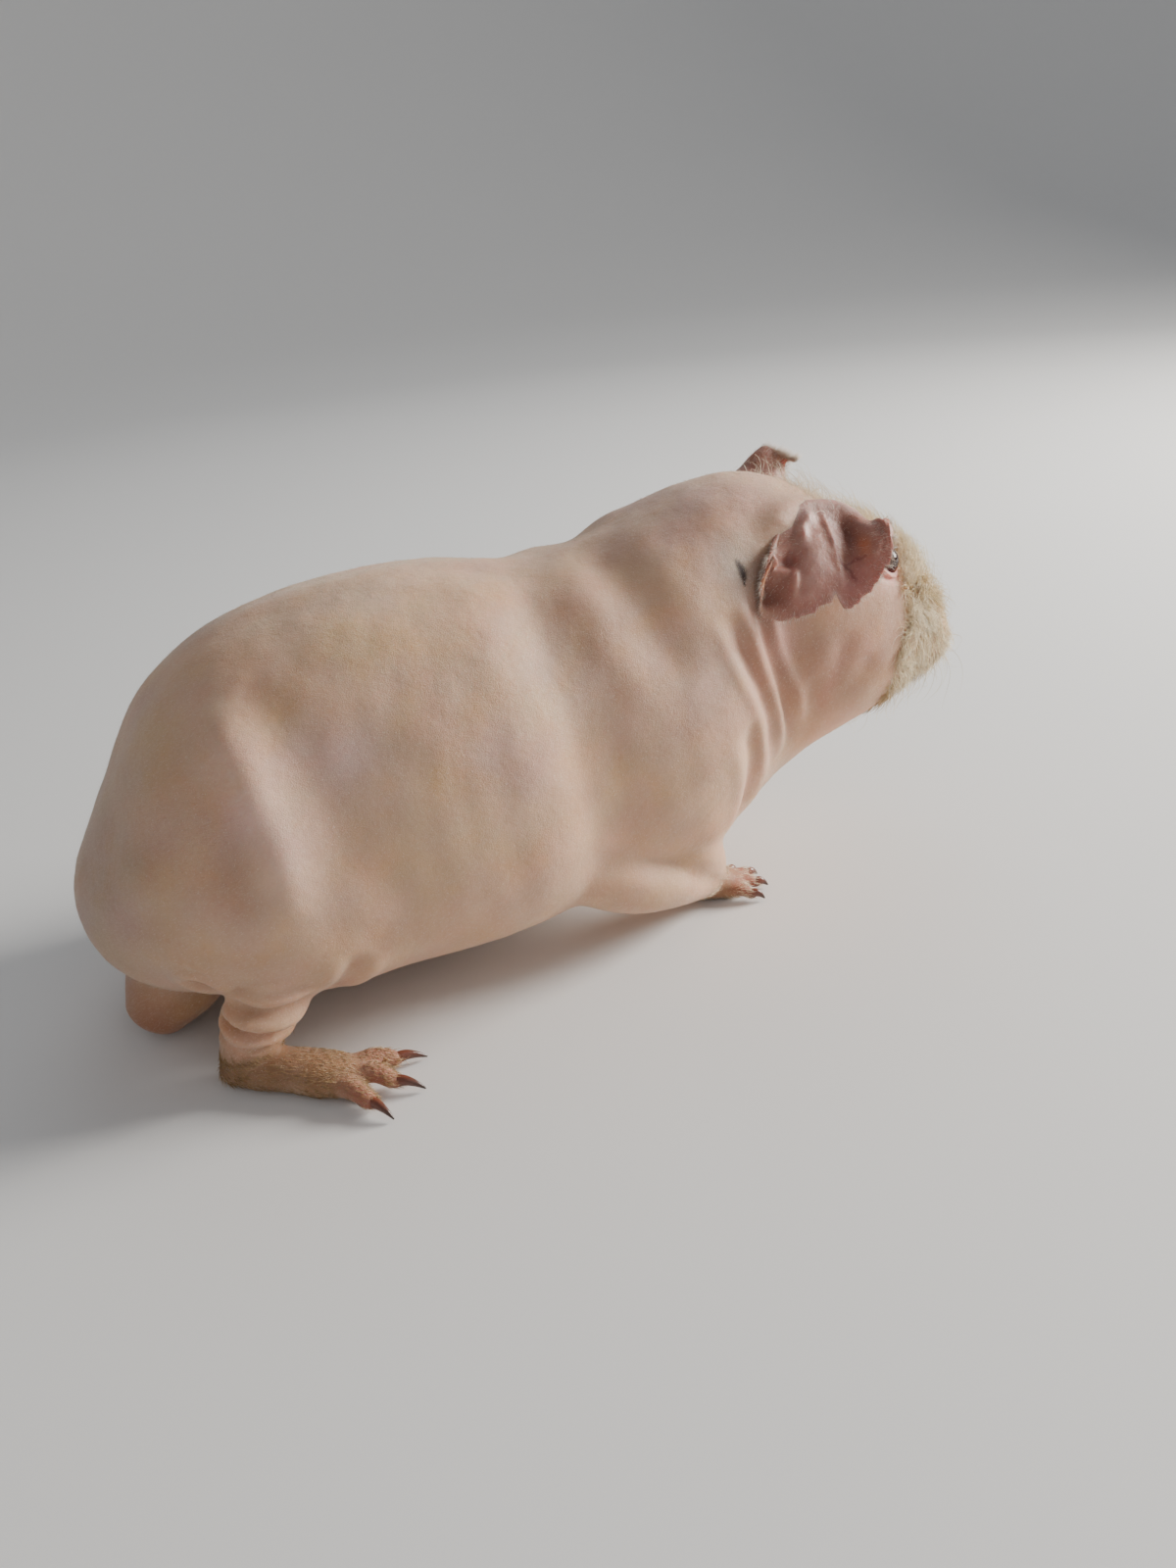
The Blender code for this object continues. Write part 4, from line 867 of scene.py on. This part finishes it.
def strands(name, roots, normals, lies, lengths, widths, rises, tones, places, segments=5, curl=0.0,
            turns=1.0, droop=0.0, seed=1, sunk=0.4):
    """One mesh of many strands. rises is how far each stands off the skin at its root, from 0 to 1."""
    path = strand_paths(roots, normals, lies, lengths, rises, segments, curl, turns, droop, seed, sunk)
    count = len(roots)
    ahead = unit(np.gradient(path, axis=1))
    across = unit(np.cross(ahead, normals[:, None, :]) + 1e-4)
    over = np.cross(across, ahead)
    taper = np.clip(1.0 - np.linspace(0, 1, segments + 1) ** 1.6, 0, 1)
    verts = np.empty((count, segments * 3 + 1, 3))
    for k in range(segments):
        size = (widths * taper[k] / 2)[:, None]
        for c, (x, y) in enumerate(CORNERS):
            verts[:, k * 3 + c] = path[:, k] + across[:, k] * size * x + over[:, k] * size * y
    verts[:, -1] = path[:, -1]
    faces = [(0, 2, 1)]
    for k in range(segments - 1):
        for c in range(3):
            a, b = k * 3 + c, k * 3 + (c + 1) % 3
            faces += [(a, b, b + 3), (a, b + 3, a + 3)]
    last = (segments - 1) * 3
    faces += [(last + c, last + (c + 1) % 3, segments * 3) for c in range(3)]
    size = verts.shape[1]
    tris = (np.array(faces)[None] + (np.arange(count) * size)[:, None, None]).reshape(-1, 3)
    mesh = bpy.data.meshes.new(name)
    mesh.vertices.add(count * size)
    mesh.vertices.foreach_set("co", in_frame(verts.reshape(-1, 3)))
    mesh.loops.add(len(tris) * 3)
    mesh.loops.foreach_set("vertex_index", tris.ravel().astype(np.int32))
    mesh.polygons.add(len(tris))
    mesh.polygons.foreach_set("loop_start", np.arange(0, len(tris) * 3, 3, dtype=np.int32))
    mesh.update(calc_edges=True)
    mesh.shade_smooth()
    shade = np.concatenate([np.repeat(np.linspace(0.0, 1.0, segments), 3), [1.0]])
    root_tone, tip_tone = tones
    colours = root_tone[:, None, :] + (tip_tone - root_tone)[:, None, :] * shade[None, :, None]
    set_colours(mesh, colours.reshape(-1, 3))
    across_uv = np.concatenate([np.tile(np.array([-1.0, 0.0, 1.0]), segments), [0.0]]) * TUFT_PATCH / 2
    along_uv = (shade - 0.5) * TUFT_PATCH
    uv = places[:, None, :] + np.stack([across_uv, along_uv], axis=1)[None]
    layer = mesh.uv_layers.new(name="OFBake")
    layer.data.foreach_set("uv", uv.reshape(-1, 2)[tris.ravel()].astype(np.float32).ravel())
    return linked(name, mesh)


def scattered(points, normals, tris, wanted, count, seed):
    """Random places on a surface, thick where wanted is high, and the normals there."""
    draw = np.random.default_rng(seed)
    a, b, c = (points[tris[:, k]] for k in range(3))
    area = np.linalg.norm(np.cross(b - a, c - a), axis=1) * wanted[tris].mean(axis=1)
    chosen = draw.choice(len(tris), size=count, p=area / area.sum())
    r, q = np.sqrt(draw.random(count)), draw.random(count)
    shares = np.column_stack([1 - r, r * (1 - q), r * q])
    where = np.einsum("ij,ijk->ik", shares, points[tris[chosen]])
    return where, unit(np.einsum("ij,ijk->ik", shares, normals[tris[chosen]]))


def lying(normals, way):
    """The lie of a coat: a direction laid flat on the skin."""
    way = np.broadcast_to(np.asarray(way, float), normals.shape)
    return unit(way - normals * (way * normals).sum(axis=1, keepdims=True))


def varied(draw, tone, count, spread=0.12):
    """A colour for each strand, varied in brightness and a little in warmth."""
    bright = 1 + draw.normal(0, spread, (count, 1))
    shift = draw.normal(0, 0.05, (count, 1)) * np.array([[0.2, -0.1, -1.0]])
    return np.clip(np.array(tone) * bright * (1 + shift), 0.01, 1.0)


# The height on the muzzle's side and the x at which its coat starts there
COAT_HEIGHTS, COAT_STARTS = (46, 52, 56, 62, 67, 74, 80), (107.5, 106.0, 106.5, 108.5, 110.5, 112.0, 112.8)


def muzzle_cover(points):
    """Where the muzzle's coat grows, from 0 to 1."""
    x, z = points[:, 0], points[:, 2]
    start = np.interp(z, COAT_HEIGHTS, COAT_STARTS) + 0.6 * undulation(points, 5.0, 17)
    cover = smoothstep(x, start - 1.0, start + 2.0) * (1 - smoothstep(x, 136.2, 137.8))
    for side in SIDES.values():
        cover *= smoothstep(from_eye(points, side), 6.6, 9.0)
        cover *= smoothstep(line_distance(points, mouth_line(side), 5.0)[0], 0.5, 1.5)
        cover *= smoothstep(np.linalg.norm(points - mirrored(NOSTRIL, side), axis=1), 1.9, 3.4)
    return cover


def muzzle_coat(number, skin, cover, draw):
    """A quarter of the muzzle's wiry coat, which lies back in whorls and is short at the nose."""
    count, seed = 4300, 31 + number
    where, normal = scattered(*skin, cover, count, seed)
    top = smoothstep(normal[:, 2], -0.05, 0.65)
    low = smoothstep(-normal[:, 2], 0.0, 0.8)
    back = np.array([-0.55, 0.0, 0.35]) * top[:, None] + np.array([-0.25, 0.0, -0.9]) * (1 - top[:, None])
    lie = lying(normal, back)
    turn = 1.1 * undulation(where, 11.0, 25) + 0.5 * undulation(where, 4.0, 26)
    turn = turn + draw.normal(0, 0.35, count)
    lie = lie * np.cos(turn)[:, None] + np.cross(normal, lie) * np.sin(turn)[:, None]
    near_nose = smoothstep(where[:, 0], 126.0, 136.5)
    length = (6.0 + 4.4 * top) * (1 - 0.72 * near_nose) * (1 - 0.2 * low) * draw.uniform(0.55, 1.3, count)
    length = length * (1 - 0.35 * smoothstep(-undulation(where, 6.0, 28), 0.2, 1.2))
    rise = np.clip(0.38 + 0.40 * top + draw.normal(0, 0.17, count), 0.1, 1.0)
    width = 0.17 * draw.uniform(0.7, 1.3, count)
    # hairs are darker on the coat's underside, as painted shade, and on its lower sides towards its rear
    # edge, with random variation
    dark = np.clip(0.75 * low + 0.5 * smoothstep(112.0 - where[:, 0], -4.0, 5.0) * (1 - top), 0, 1)
    dark = np.clip(dark + 0.25 * undulation(where, 7.0, 27), 0, 1)[:, None]
    tone = varied(draw, (0.98, 0.84, 0.59), count, 0.08) * (1 - dark * np.array([[0.36, 0.47, 0.60]]))
    return strands("muzzle_coat_%d" % (number + 1), where, normal, lie, length, width, rise,
                   (tone * np.array([0.90, 0.81, 0.68]), tone), unwrapped(where), segments=6,
                   curl=draw.uniform(0.02, 0.20, count), turns=draw.uniform(0.4, 1.2, count), seed=seed)


def grown(name, skin, cover, count, seed, draw, way, stray, colour, spread, dim, lengths, width, rises,
          longest=1.0, curls=None, unwrap=unwrapped, **more):
    """One plainer piece of hair. way and longest may also be functions of the places where it grows.

    stray is how far its strands turn from way, dim the share of colour left at their roots, and lengths,
    rises and curls go from the least to the most.
    """
    where, normal = scattered(*skin, cover, count, seed)
    way = way(where) if callable(way) else way
    lie = lying(normal, unit(lying(normal, way) + draw.normal(0, stray, where.shape)))
    tone = varied(draw, colour, count, spread)
    length = draw.uniform(*lengths, count) * (longest(where) if callable(longest) else longest)
    rise = draw.uniform(*rises, count)
    if curls:
        more["curl"] = draw.uniform(*curls[:2], count) * curls[2]
        more["turns"] = draw.uniform(0.5, 1.1, count)
    return strands(name, where, normal, lie, length, np.full(count, width), rise, (tone * dim, tone),
                   unwrap(where), seed=seed + 1, **more)


def foot_fur(cell, kind, word, skin, draw):
    """The short fur of a foot, which turns down at the leg."""
    points = skin[0]
    side, shift = SIDES[word], SHIFTS[kind][word]
    table, count, ahead, colour = {
        # the hind feet's golden-brown fur is darker than the fore feet's, partly as painted shade
        "hind": (HIND_FOOT, 6400, (0.85, 0.45 * side, -0.1), (0.46, 0.28, 0.12)),
        "fore": (FORE_FOOT, 3200, (0.9, 0.0, -0.35), (0.80, 0.62, 0.42))}[kind]
    distance, _ = line_distance(points, mirrored([row[:3] for row in table], side, shift), 14.0)
    cover = (1 - smoothstep(distance, 7.0, 10.5)) * (1 - smoothstep(points[:, 2], 11.0, 15.5))
    for toe in TOES[kind].values():
        distance, share = line_distance(points, mirrored(toe[:3], side, shift), 8.0)
        near = np.exp(-(distance / 3.2) ** 4) * np.interp(share, (0, 0.6, 1), (1, 0.6, 0.05))
        cover = np.maximum(cover, near)
    cover = cover * smoothstep(points[:, 2], 0.4, 2.2)

    def way(where):
        leg = smoothstep(where[:, 2], 8.0, 14.0)[:, None]
        return np.array(ahead) * (1 - leg) + np.array((0.2, 0.0, -1.0)) * leg

    return grown("foot_fur_%s_%s" % (kind, word), skin, cover, count, 51 + cell, draw, way, stray=0.18,
                 colour=colour, spread=0.16, dim=0.62, lengths=(0.6, 1.2), longest=3.0, width=0.17,
                 rises=(0.12, 0.4), segments=3, unwrap=lambda where: unwrapped_foot(where, cell))


def whiskers(draw):
    """Nine on each side, in three rows."""
    where, normal = [], []
    for side in SIDES.values():
        for i in range(9):
            x, degrees = 126.0 + 3.0 * (i % 3), 350.0 - 16.0 * (i // 3) + 5.0 * (i % 3)
            point, out = body_at(x, degrees, side)
            where.append(point)
            normal.append(out)
    where, normal, count = np.array(where), np.array(normal), len(where)
    lie = unit(lying(normal, (-0.9, 0.0, -0.1)) + draw.normal(0, 0.15, where.shape))
    tone = varied(draw, (0.80, 0.70, 0.55), count)
    return strands("whiskers", where, normal, lie, draw.uniform(12.0, 20.0, count), np.full(count, 0.15),
                   draw.uniform(0.7, 1.0, count), (tone, tone), unwrapped(where), segments=12,
                   curl=draw.uniform(0.02, 0.08, count), turns=0.8, droop=0.35, seed=81)


def make_coat(skin):
    """All hair of the body. skin is its points, normals and triangles."""
    points, normals, _ = skin
    draw = np.random.default_rng(11)
    cover = muzzle_cover(points)
    coat = [muzzle_coat(number, skin, cover, draw) for number in range(4)]
    # longer single hairs that stand out of the muzzle's coat
    on_top = cover * (1 + 1.5 * smoothstep(normals[:, 2], 0, 0.7))
    coat.append(grown("muzzle_wisps", skin, on_top, 700, 37, draw, (-0.3, 0.0, 0.1), stray=0.6,
                      colour=(0.95, 0.85, 0.64), spread=0.08, dim=0.85, lengths=(8.0, 13.0),
                      longest=lambda where: 1 - 0.6 * smoothstep(where[:, 0], 128.0, 137.0),
                      width=0.13, rises=(0.45, 1.0), curls=(0.08, 0.28, 1.0), segments=9))
    # loose curls on the brow, over a short fuzz
    brow = bump_at(points, (101.0, -2.0, 100.0), (10.0, 14.0, 9.0)) * (points[:, 2] > 90)
    for name, count, longest, curl, segments, seed in (("brow_curls", 300, 12.0, 0.36, 10, 41),
                                                       ("brow_fuzz", 1500, 3.6, 0.1, 4, 43)):
        coat.append(grown(name, skin, brow, count, seed, draw, (-0.6, 0.0, 0.0), stray=0.7,
                          colour=(0.90, 0.79, 0.60), spread=0.12, dim=0.85, lengths=(0.35, 1.0),
                          longest=longest, width=0.12, rises=(0.5, 1.0), curls=(0.3, 1.0, curl),
                          segments=segments))
    feet = [(kind, word) for kind in TOES for word in SIDES]
    coat += [foot_fur(cell, kind, word, skin, draw) for cell, (kind, word) in enumerate(feet)]
    # fine down over the whole skin, which shows as a pale rim
    bare = smoothstep(points[:, 2], 1.5, 6.0)
    for side in SIDES.values():
        bare *= smoothstep(from_eye(points, side), 6.0, 7.5)
    bare *= 1 + 1.2 * bump_at(points, (75.0, 0.0, 108.0), (30.0, 30.0, 14.0))
    for number in range(2):
        coat.append(grown("down_%d" % (number + 1), skin, bare, 22000, 71 + number, draw, (-1.0, 0.0, -0.35),
                          stray=0.25, colour=(0.82, 0.70, 0.58), spread=0.05, dim=1.0, lengths=(0.7, 1.5),
                          width=0.05, rises=(0.3, 0.8), segments=1, sunk=0.1))
    coat.append(whiskers(draw))
    return coat


EAR_HAIRS = {"right": 2400, "left": 4200}


def ear_hairs(word, points, coordinates):
    """Fine pale hair along an ear's free edge and over its back."""
    draw = np.random.default_rng(91 + SIDES[word])
    s, t = coordinates.T
    count = EAR_HAIRS[word]
    wanted = np.where(t > 0.1, 0.25 + 3.0 * smoothstep(t, 0.86, 1.0), 0.0)
    longest = 2.2
    if word == "left":
        wanted = wanted * (0.3 + 5.0 * smoothstep(s, 0.55, 0.9))
    chosen = draw.choice(len(points), size=count, p=wanted / wanted.sum())
    if word == "left":
        longest = longest + 1.6 * smoothstep(s[chosen], 0.6, 0.9)
    where = points[chosen] + draw.normal(0, 0.15, (count, 3))
    half = len(points) // 2
    thick = unit(points[:half] - points[half:])
    normal = np.concatenate([thick, -thick])[chosen]
    out = lying(normal, (0.0, 0.0, 0.0)) + unit(where - points.mean(axis=0))
    lie = unit(out - normal * (out * normal).sum(axis=1, keepdims=True) + draw.normal(0, 0.2, (count, 3)))
    tone = varied(draw, (0.74, 0.62, 0.52), count, 0.08)
    return strands("ear_down_" + word, where, normal, lie, draw.uniform(0.35, 1.0, count) * longest,
                   np.full(count, 0.06), draw.uniform(0.1, 0.6, count), (tone * 0.9, tone),
                   unwrapped(where), segments=2, sunk=0.1)


class Nodes:
    """A short way to wire a material."""

    def __init__(self, name):
        self.material = bpy.data.materials.new(name)
        self.material.use_nodes = True
        self.tree = self.material.node_tree
        self.shader = self.tree.nodes["Principled BSDF"]
        self.coordinates = None

    def add(self, kind, values=None, **settings):
        node = self.tree.nodes.new(kind)
        for key, value in settings.items():
            setattr(node, key, value)
        for key, value in (values or {}).items():
            node.inputs[key].default_value = value
        return node

    def feed(self, socket, value):
        """Links a value to a socket, or sets it there."""
        if hasattr(value, "is_linked"):
            self.tree.links.new(value, socket)
        else:
            socket.default_value = value

    def tone(self):
        """The colour painted on the mesh."""
        return self.add("ShaderNodeAttribute", attribute_name="tone").outputs["Color"]

    def place(self):
        if self.coordinates is None:
            self.coordinates = self.add("ShaderNodeTexCoord").outputs["Object"]
        return self.coordinates

    def noise(self, scale, detail=4.0, roughness=0.55):
        node = self.add("ShaderNodeTexNoise", {"Scale": scale, "Detail": detail, "Roughness": roughness})
        self.feed(node.inputs["Vector"], self.place())
        return node.outputs["Fac"]

    def ranged(self, value, low, high, to_low, to_high):
        node = self.add("ShaderNodeMapRange", {"From Min": low, "From Max": high, "To Min": to_low,
                                               "To Max": to_high})
        self.feed(node.inputs["Value"], value)
        return node.outputs["Result"]

    def mixed(self, factor, first, second, blend="MIX"):
        node = self.add("ShaderNodeMix", data_type="RGBA", blend_type=blend)
        for socket, value in ((node.inputs[0], factor), (node.inputs[6], first), (node.inputs[7], second)):
            self.feed(socket, value)
        return node.outputs[2]

    def bump(self, height, distance, strength=1.0, over=None):
        node = self.add("ShaderNodeBump", {"Distance": distance, "Strength": strength})
        self.feed(node.inputs["Height"], height)
        if over:
            self.feed(node.inputs["Normal"], over)
        return node.outputs["Normal"]

    def set(self, **values):
        for key, value in values.items():
            self.feed(self.shader.inputs[key.replace("_", " ")], value)
        return self.material


def skin_material():
    n = Nodes("bare skin")
    tone = n.tone()
    patches = n.ranged(n.noise(75.0, 3.0), 0.42, 0.66, 0.0, 0.55)
    colour = n.mixed(patches, tone, (1.0, 0.86, 0.84, 1.0), "MULTIPLY")
    yellow = n.ranged(n.noise(110.0, 3.0), 0.5, 0.72, 0.0, 0.55)
    colour = n.mixed(yellow, colour, (1.04, 0.98, 0.78, 1.0), "MULTIPLY")
    fine = n.ranged(n.noise(900.0, 3.0, 0.65), 0.35, 0.7, 0.0, 0.35)
    colour = n.mixed(fine, colour, (0.86, 0.74, 0.70, 1.0), "MULTIPLY")
    flecks = n.ranged(n.noise(2600.0, 2.0, 0.7), 0.62, 0.72, 0.0, 0.45)
    colour = n.mixed(flecks, colour, (0.93, 0.80, 0.66, 1.0))
    pores = n.add("ShaderNodeTexVoronoi", {"Scale": 2100.0}, feature="DISTANCE_TO_EDGE")
    n.feed(pores.inputs["Vector"], n.place())
    creases = n.ranged(pores.outputs["Distance"], 0.0, 0.16, 0.0, 1.0)
    rough = n.ranged(n.noise(1400.0, 2.0), 0.3, 0.7, 0.46, 0.66)
    normal = n.bump(n.noise(190.0, 3.0, 0.6), 0.0009, 0.4)
    normal = n.bump(creases, 0.00010, 0.32, normal)
    normal = n.bump(n.noise(3600.0, 1.0, 0.7), 0.00016, 0.5, normal)
    return n.set(Base_Color=colour, Roughness=rough, Normal=normal, Subsurface_Weight=0.45,
                 Subsurface_Radius=(1.0, 0.36, 0.20), Subsurface_Scale=0.0032, Specular_IOR_Level=0.42,
                 Sheen_Weight=0.22, Sheen_Roughness=0.45, Sheen_Tint=(1.0, 0.90, 0.82, 1.0))


def ear_material():
    n = Nodes("ear skin")
    tone = n.tone()
    patches = n.ranged(n.noise(260.0, 5.0, 0.65), 0.35, 0.7, 0.0, 0.8)
    colour = n.mixed(patches, tone, (0.80, 0.62, 0.58, 1.0), "MULTIPLY")
    flecks = n.ranged(n.noise(2400.0, 2.0), 0.60, 0.74, 0.0, 0.4)
    colour = n.mixed(flecks, colour, (0.70, 0.52, 0.44, 1.0))
    rough = n.ranged(n.noise(700.0, 3.0), 0.3, 0.7, 0.42, 0.62)
    normal = n.bump(n.noise(420.0, 5.0, 0.6), 0.0008, 0.5)
    normal = n.bump(n.noise(3000.0, 3.0), 0.00014, 0.5, normal)
    return n.set(Base_Color=colour, Roughness=rough, Normal=normal, Subsurface_Weight=0.5,
                 Subsurface_Radius=(1.0, 0.30, 0.16), Subsurface_Scale=0.0022, Specular_IOR_Level=0.5,
                 Sheen_Weight=0.12, Sheen_Roughness=0.4)


def hair_material(name, roughness):
    n = Nodes(name)
    tone = n.tone()
    shift = n.ranged(n.noise(500.0, 3.0), 0.3, 0.7, 0.0, 0.5)
    colour = n.mixed(shift, tone, (0.88, 0.80, 0.70, 1.0), "MULTIPLY")
    return n.set(Base_Color=colour, Roughness=roughness, Specular_IOR_Level=0.4, Sheen_Weight=0.1,
                 Subsurface_Weight=0.15, Subsurface_Radius=(1.0, 0.7, 0.45), Subsurface_Scale=0.001)


def eye_material():
    n = Nodes("wet ruby eye")
    tone = n.tone()
    veins = n.ranged(n.noise(900.0, 4.0), 0.4, 0.7, 0.0, 1.0)
    colour = n.mixed(veins, tone, (0.75, 0.6, 0.6, 1.0), "MULTIPLY")
    return n.set(Base_Color=colour, Roughness=0.07, Coat_Weight=0.08, Coat_Roughness=0.03,
                 Specular_IOR_Level=0.14)


def claw_material():
    n = Nodes("claw horn")
    tone = n.tone()
    grain = n.ranged(n.noise(1500.0, 4.0), 0.3, 0.7, 0.0, 0.6)
    colour = n.mixed(grain, tone, (0.6, 0.5, 0.45, 1.0), "MULTIPLY")
    normal = n.bump(n.noise(1800.0, 3.0), 0.0002, 0.35)
    return n.set(Base_Color=colour, Roughness=0.3, Normal=normal, Specular_IOR_Level=0.55,
                 Subsurface_Weight=0.15, Subsurface_Scale=0.0008, Coat_Weight=0.2, Coat_Roughness=0.2)


CLEAR_FRONT, CLEAR_HEIGHT = 0.75, 0.035     # where an eye's clear front starts, and how far it stands out


def make_eye(word):
    centre, look, _ = eye_frame(SIDES[word])
    bm = bmesh.new()
    bmesh.ops.create_uvsphere(bm, u_segments=48, v_segments=32, radius=EYE_R * MM)
    facing = []
    for vert in bm.verts:
        ahead = vert.co.normalized().z
        facing.append(ahead)
        vert.co *= 1 + CLEAR_HEIGHT * max(0.0, ahead - CLEAR_FRONT) / (1 - CLEAR_FRONT)
    turn = Vector(look).to_track_quat("Z", "Y").to_matrix().to_4x4()
    place = Matrix.Translation(Vector((centre + ORIGIN) * MM))
    bmesh.ops.transform(bm, matrix=place @ turn, verts=bm.verts[:])
    mesh = bpy.data.meshes.new("eye_ball_" + word)
    bm.to_mesh(mesh)
    bm.free()
    mesh.shade_smooth()
    ring = (1 - smoothstep(np.array(facing), 0.62, 0.97))[:, None]
    set_colours(mesh, np.array(PUPIL) * (1 - ring) + np.array(IRIS) * ring)
    return linked("eye_ball_" + word, mesh)


# How far along a claw it bends and how high, then its sizes from inside the toe to its tip
CLAW_PATH = ((0.34, 0.8), (0.67, 0.75))
CLAW_SIZES, CLAW_R, CLAW_NARROW = (1.1, 1.25, 1.1, 0.72, 0.2), 1.2, 0.82


def make_claw(kind, toe_name, word):
    """A curved, tapering horn, dark at its tip."""
    root, tip = mirrored(TOES[kind][toe_name][2:], SIDES[word], SHIFTS[kind][word])
    tip = root + (tip - root) * 0.92
    bends = [root * round(1 - share, 2) + tip * share + [0, 0, rise] for share, rise in CLAW_PATH]
    path = [root - (tip - root) * 0.3, root] + bends + [tip]
    sizes = np.array(CLAW_SIZES) * CLAW_R
    table = np.hstack([np.array(path), (sizes * CLAW_NARROW)[:, None], sizes[:, None]])
    points, faces = tube(table, sides=14, steps=5, round_end=0.8)
    obj = mesh_of("horn_%s_%s_%s" % (kind, toe_name, word), points, faces)
    obj.data.shade_smooth()
    length = np.linalg.norm(tip - root)
    share = np.clip(((points - root) @ (tip - root)) / length ** 2, 0, 1)[:, None]
    set_colours(obj.data, np.array(HORN_ROOT) * (1 - share) + np.array(HORN_TIP) * share)
    return obj


def placed(obj, material, slot, *nodes):
    obj.data.materials.clear()
    obj.data.materials.append(material)
    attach(obj, "root")
    if nodes:
        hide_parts(*nodes)


def build():
    obj, *skin = make_skin()
    set_colours(obj.data, painted(skin[0]))
    flesh = ["torso", "neck", "head"]
    for word in SIDES:
        flesh += [part + word for part in ("thigh_", "foreleg_", "hind_foot_", "forefoot_")]
    placed(obj, skin_material(), "skin", *flesh)
    ear_skin, down, eye, horn = ear_material(), hair_material("down", 0.6), eye_material(), claw_material()
    for word in SIDES:
        ear, ear_points, coordinates = make_ear(word)
        set_colours(ear.data, ear_painted(coordinates, word))
        placed(ear, ear_skin, "ear", "ear_" + word)
        placed(ear_hairs(word, ear_points, coordinates), down, "coat")
        placed(make_eye(word), eye, "eye", "eye_" + word)
        for kind, toes in TOES.items():
            for toe_name in toes:
                claw = make_claw(kind, toe_name, word)
                placed(claw, horn, "claw", "_".join(("claw", kind, toe_name, word)))
    materials = {"coat": hair_material("wiry coat", 0.5), "foot_fur": hair_material("foot fur", 0.55)}
    for piece in make_coat(skin):
        slot = "foot_fur" if piece.name.startswith("foot_fur") else "coat"
        placed(piece, materials[slot], slot)


# Lights, in metres: place, size, power and tint
LIGHTS = {
    "window":     ((1.10, -0.08, 0.46), 0.5, 28.0, (1.0, 0.97, 0.92)),
    "soft front": ((0.25, -1.05, 0.70), 1.0, 1.6, (1.0, 0.98, 0.96)),
    "rim":        ((0.3, 0.8, 0.9), 0.9, 1.8, (0.95, 0.98, 1.0)),
}
LIGHTS_AIM = (0.0, 0.0, 0.05)
SKY_COLOUR, SKY_STRENGTH = (0.90, 0.94, 1.0, 1.0), 0.30
FLOOR_TURNS = 96
FLOOR_RINGS, BOWL_BEND = (0.02, 0.6, 1.3), 1.6      # flat out to the last ring, then up in a bend
BOWL_ANGLES = (0.2, 0.4, 0.6, 0.8, 1.0, 1.2, 1.4, 1.5)


def floor_and_light():
    profile = [(r, 0.0) for r in FLOOR_RINGS]
    profile += [(FLOOR_RINGS[-1] + BOWL_BEND * math.sin(a), BOWL_BEND * (1 - math.cos(a)))
                for a in BOWL_ANGLES]
    turns = [k * TURN / FLOOR_TURNS for k in range(FLOOR_TURNS)]
    points = [(r * math.cos(turn), r * math.sin(turn), z) for r, z in profile for turn in turns]
    faces = [tuple(range(FLOOR_TURNS))]
    for row in range(len(profile) - 1):
        for k in range(FLOOR_TURNS):
            a, b = row * FLOOR_TURNS + k, row * FLOOR_TURNS + (k + 1) % FLOOR_TURNS
            faces.append((a, a + FLOOR_TURNS, b + FLOOR_TURNS, b))
    mesh = bpy.data.meshes.new("floor")
    mesh.from_pydata(points, [], faces)
    mesh.shade_smooth()
    floor = linked("floor", mesh)
    n = Nodes("pale floor")
    mesh.materials.append(n.set(Base_Color=(0.80, 0.79, 0.775, 1.0), Roughness=0.7, Specular_IOR_Level=0.2))
    world = bpy.data.worlds.new("studio")
    bpy.context.scene.world = world
    world.use_nodes = True
    background = world.node_tree.nodes["Background"]
    background.inputs["Color"].default_value = SKY_COLOUR
    background.inputs["Strength"].default_value = SKY_STRENGTH
    for name, (place, size, power, tint) in LIGHTS.items():
        light = bpy.data.lights.new(name, "AREA")
        light.shape = "DISK"
        light.size, light.energy, light.color = size, power, tint
        obj = linked(name, light)
        obj.location = place
        obj.rotation_mode = "QUATERNION"
        obj.rotation_quaternion = (Vector(LIGHTS_AIM) - Vector(place)).to_track_quat("-Z", "Y")


# The camera's place in the frame, the way it looks and its lens, at the photograph's angle
CAMERA_AT = (-0.07535, -0.2679, 0.1748)
CAMERA_TURN, CAMERA_DOWN, CAMERA_ROLL = -18.0, 26.7, -6.0
SENSOR, FOCAL_PIXELS, LONG_SIDE = 36.0, 1150.0, 1600.0


def camera():
    a, e, r = (math.radians(v) for v in (CAMERA_TURN, CAMERA_DOWN, CAMERA_ROLL))
    back = Vector((math.sin(a) * math.cos(e), -math.cos(a) * math.cos(e), math.sin(e)))
    right = Vector((math.cos(a), math.sin(a), 0.0))
    up = back.cross(right)
    right, up = right * math.cos(r) + up * math.sin(r), up * math.cos(r) - right * math.sin(r)
    data = bpy.data.cameras.new("camera")
    data.sensor_width = SENSOR
    data.lens = SENSOR * FOCAL_PIXELS / LONG_SIDE
    data.clip_start, data.clip_end = 0.01, 50.0
    obj = linked("camera", data)
    obj.matrix_world = Matrix.Translation(CAMERA_AT) @ Matrix((right, up, back)).transposed().to_4x4()
    bpy.context.scene.camera = obj


build()
floor_and_light()
camera()
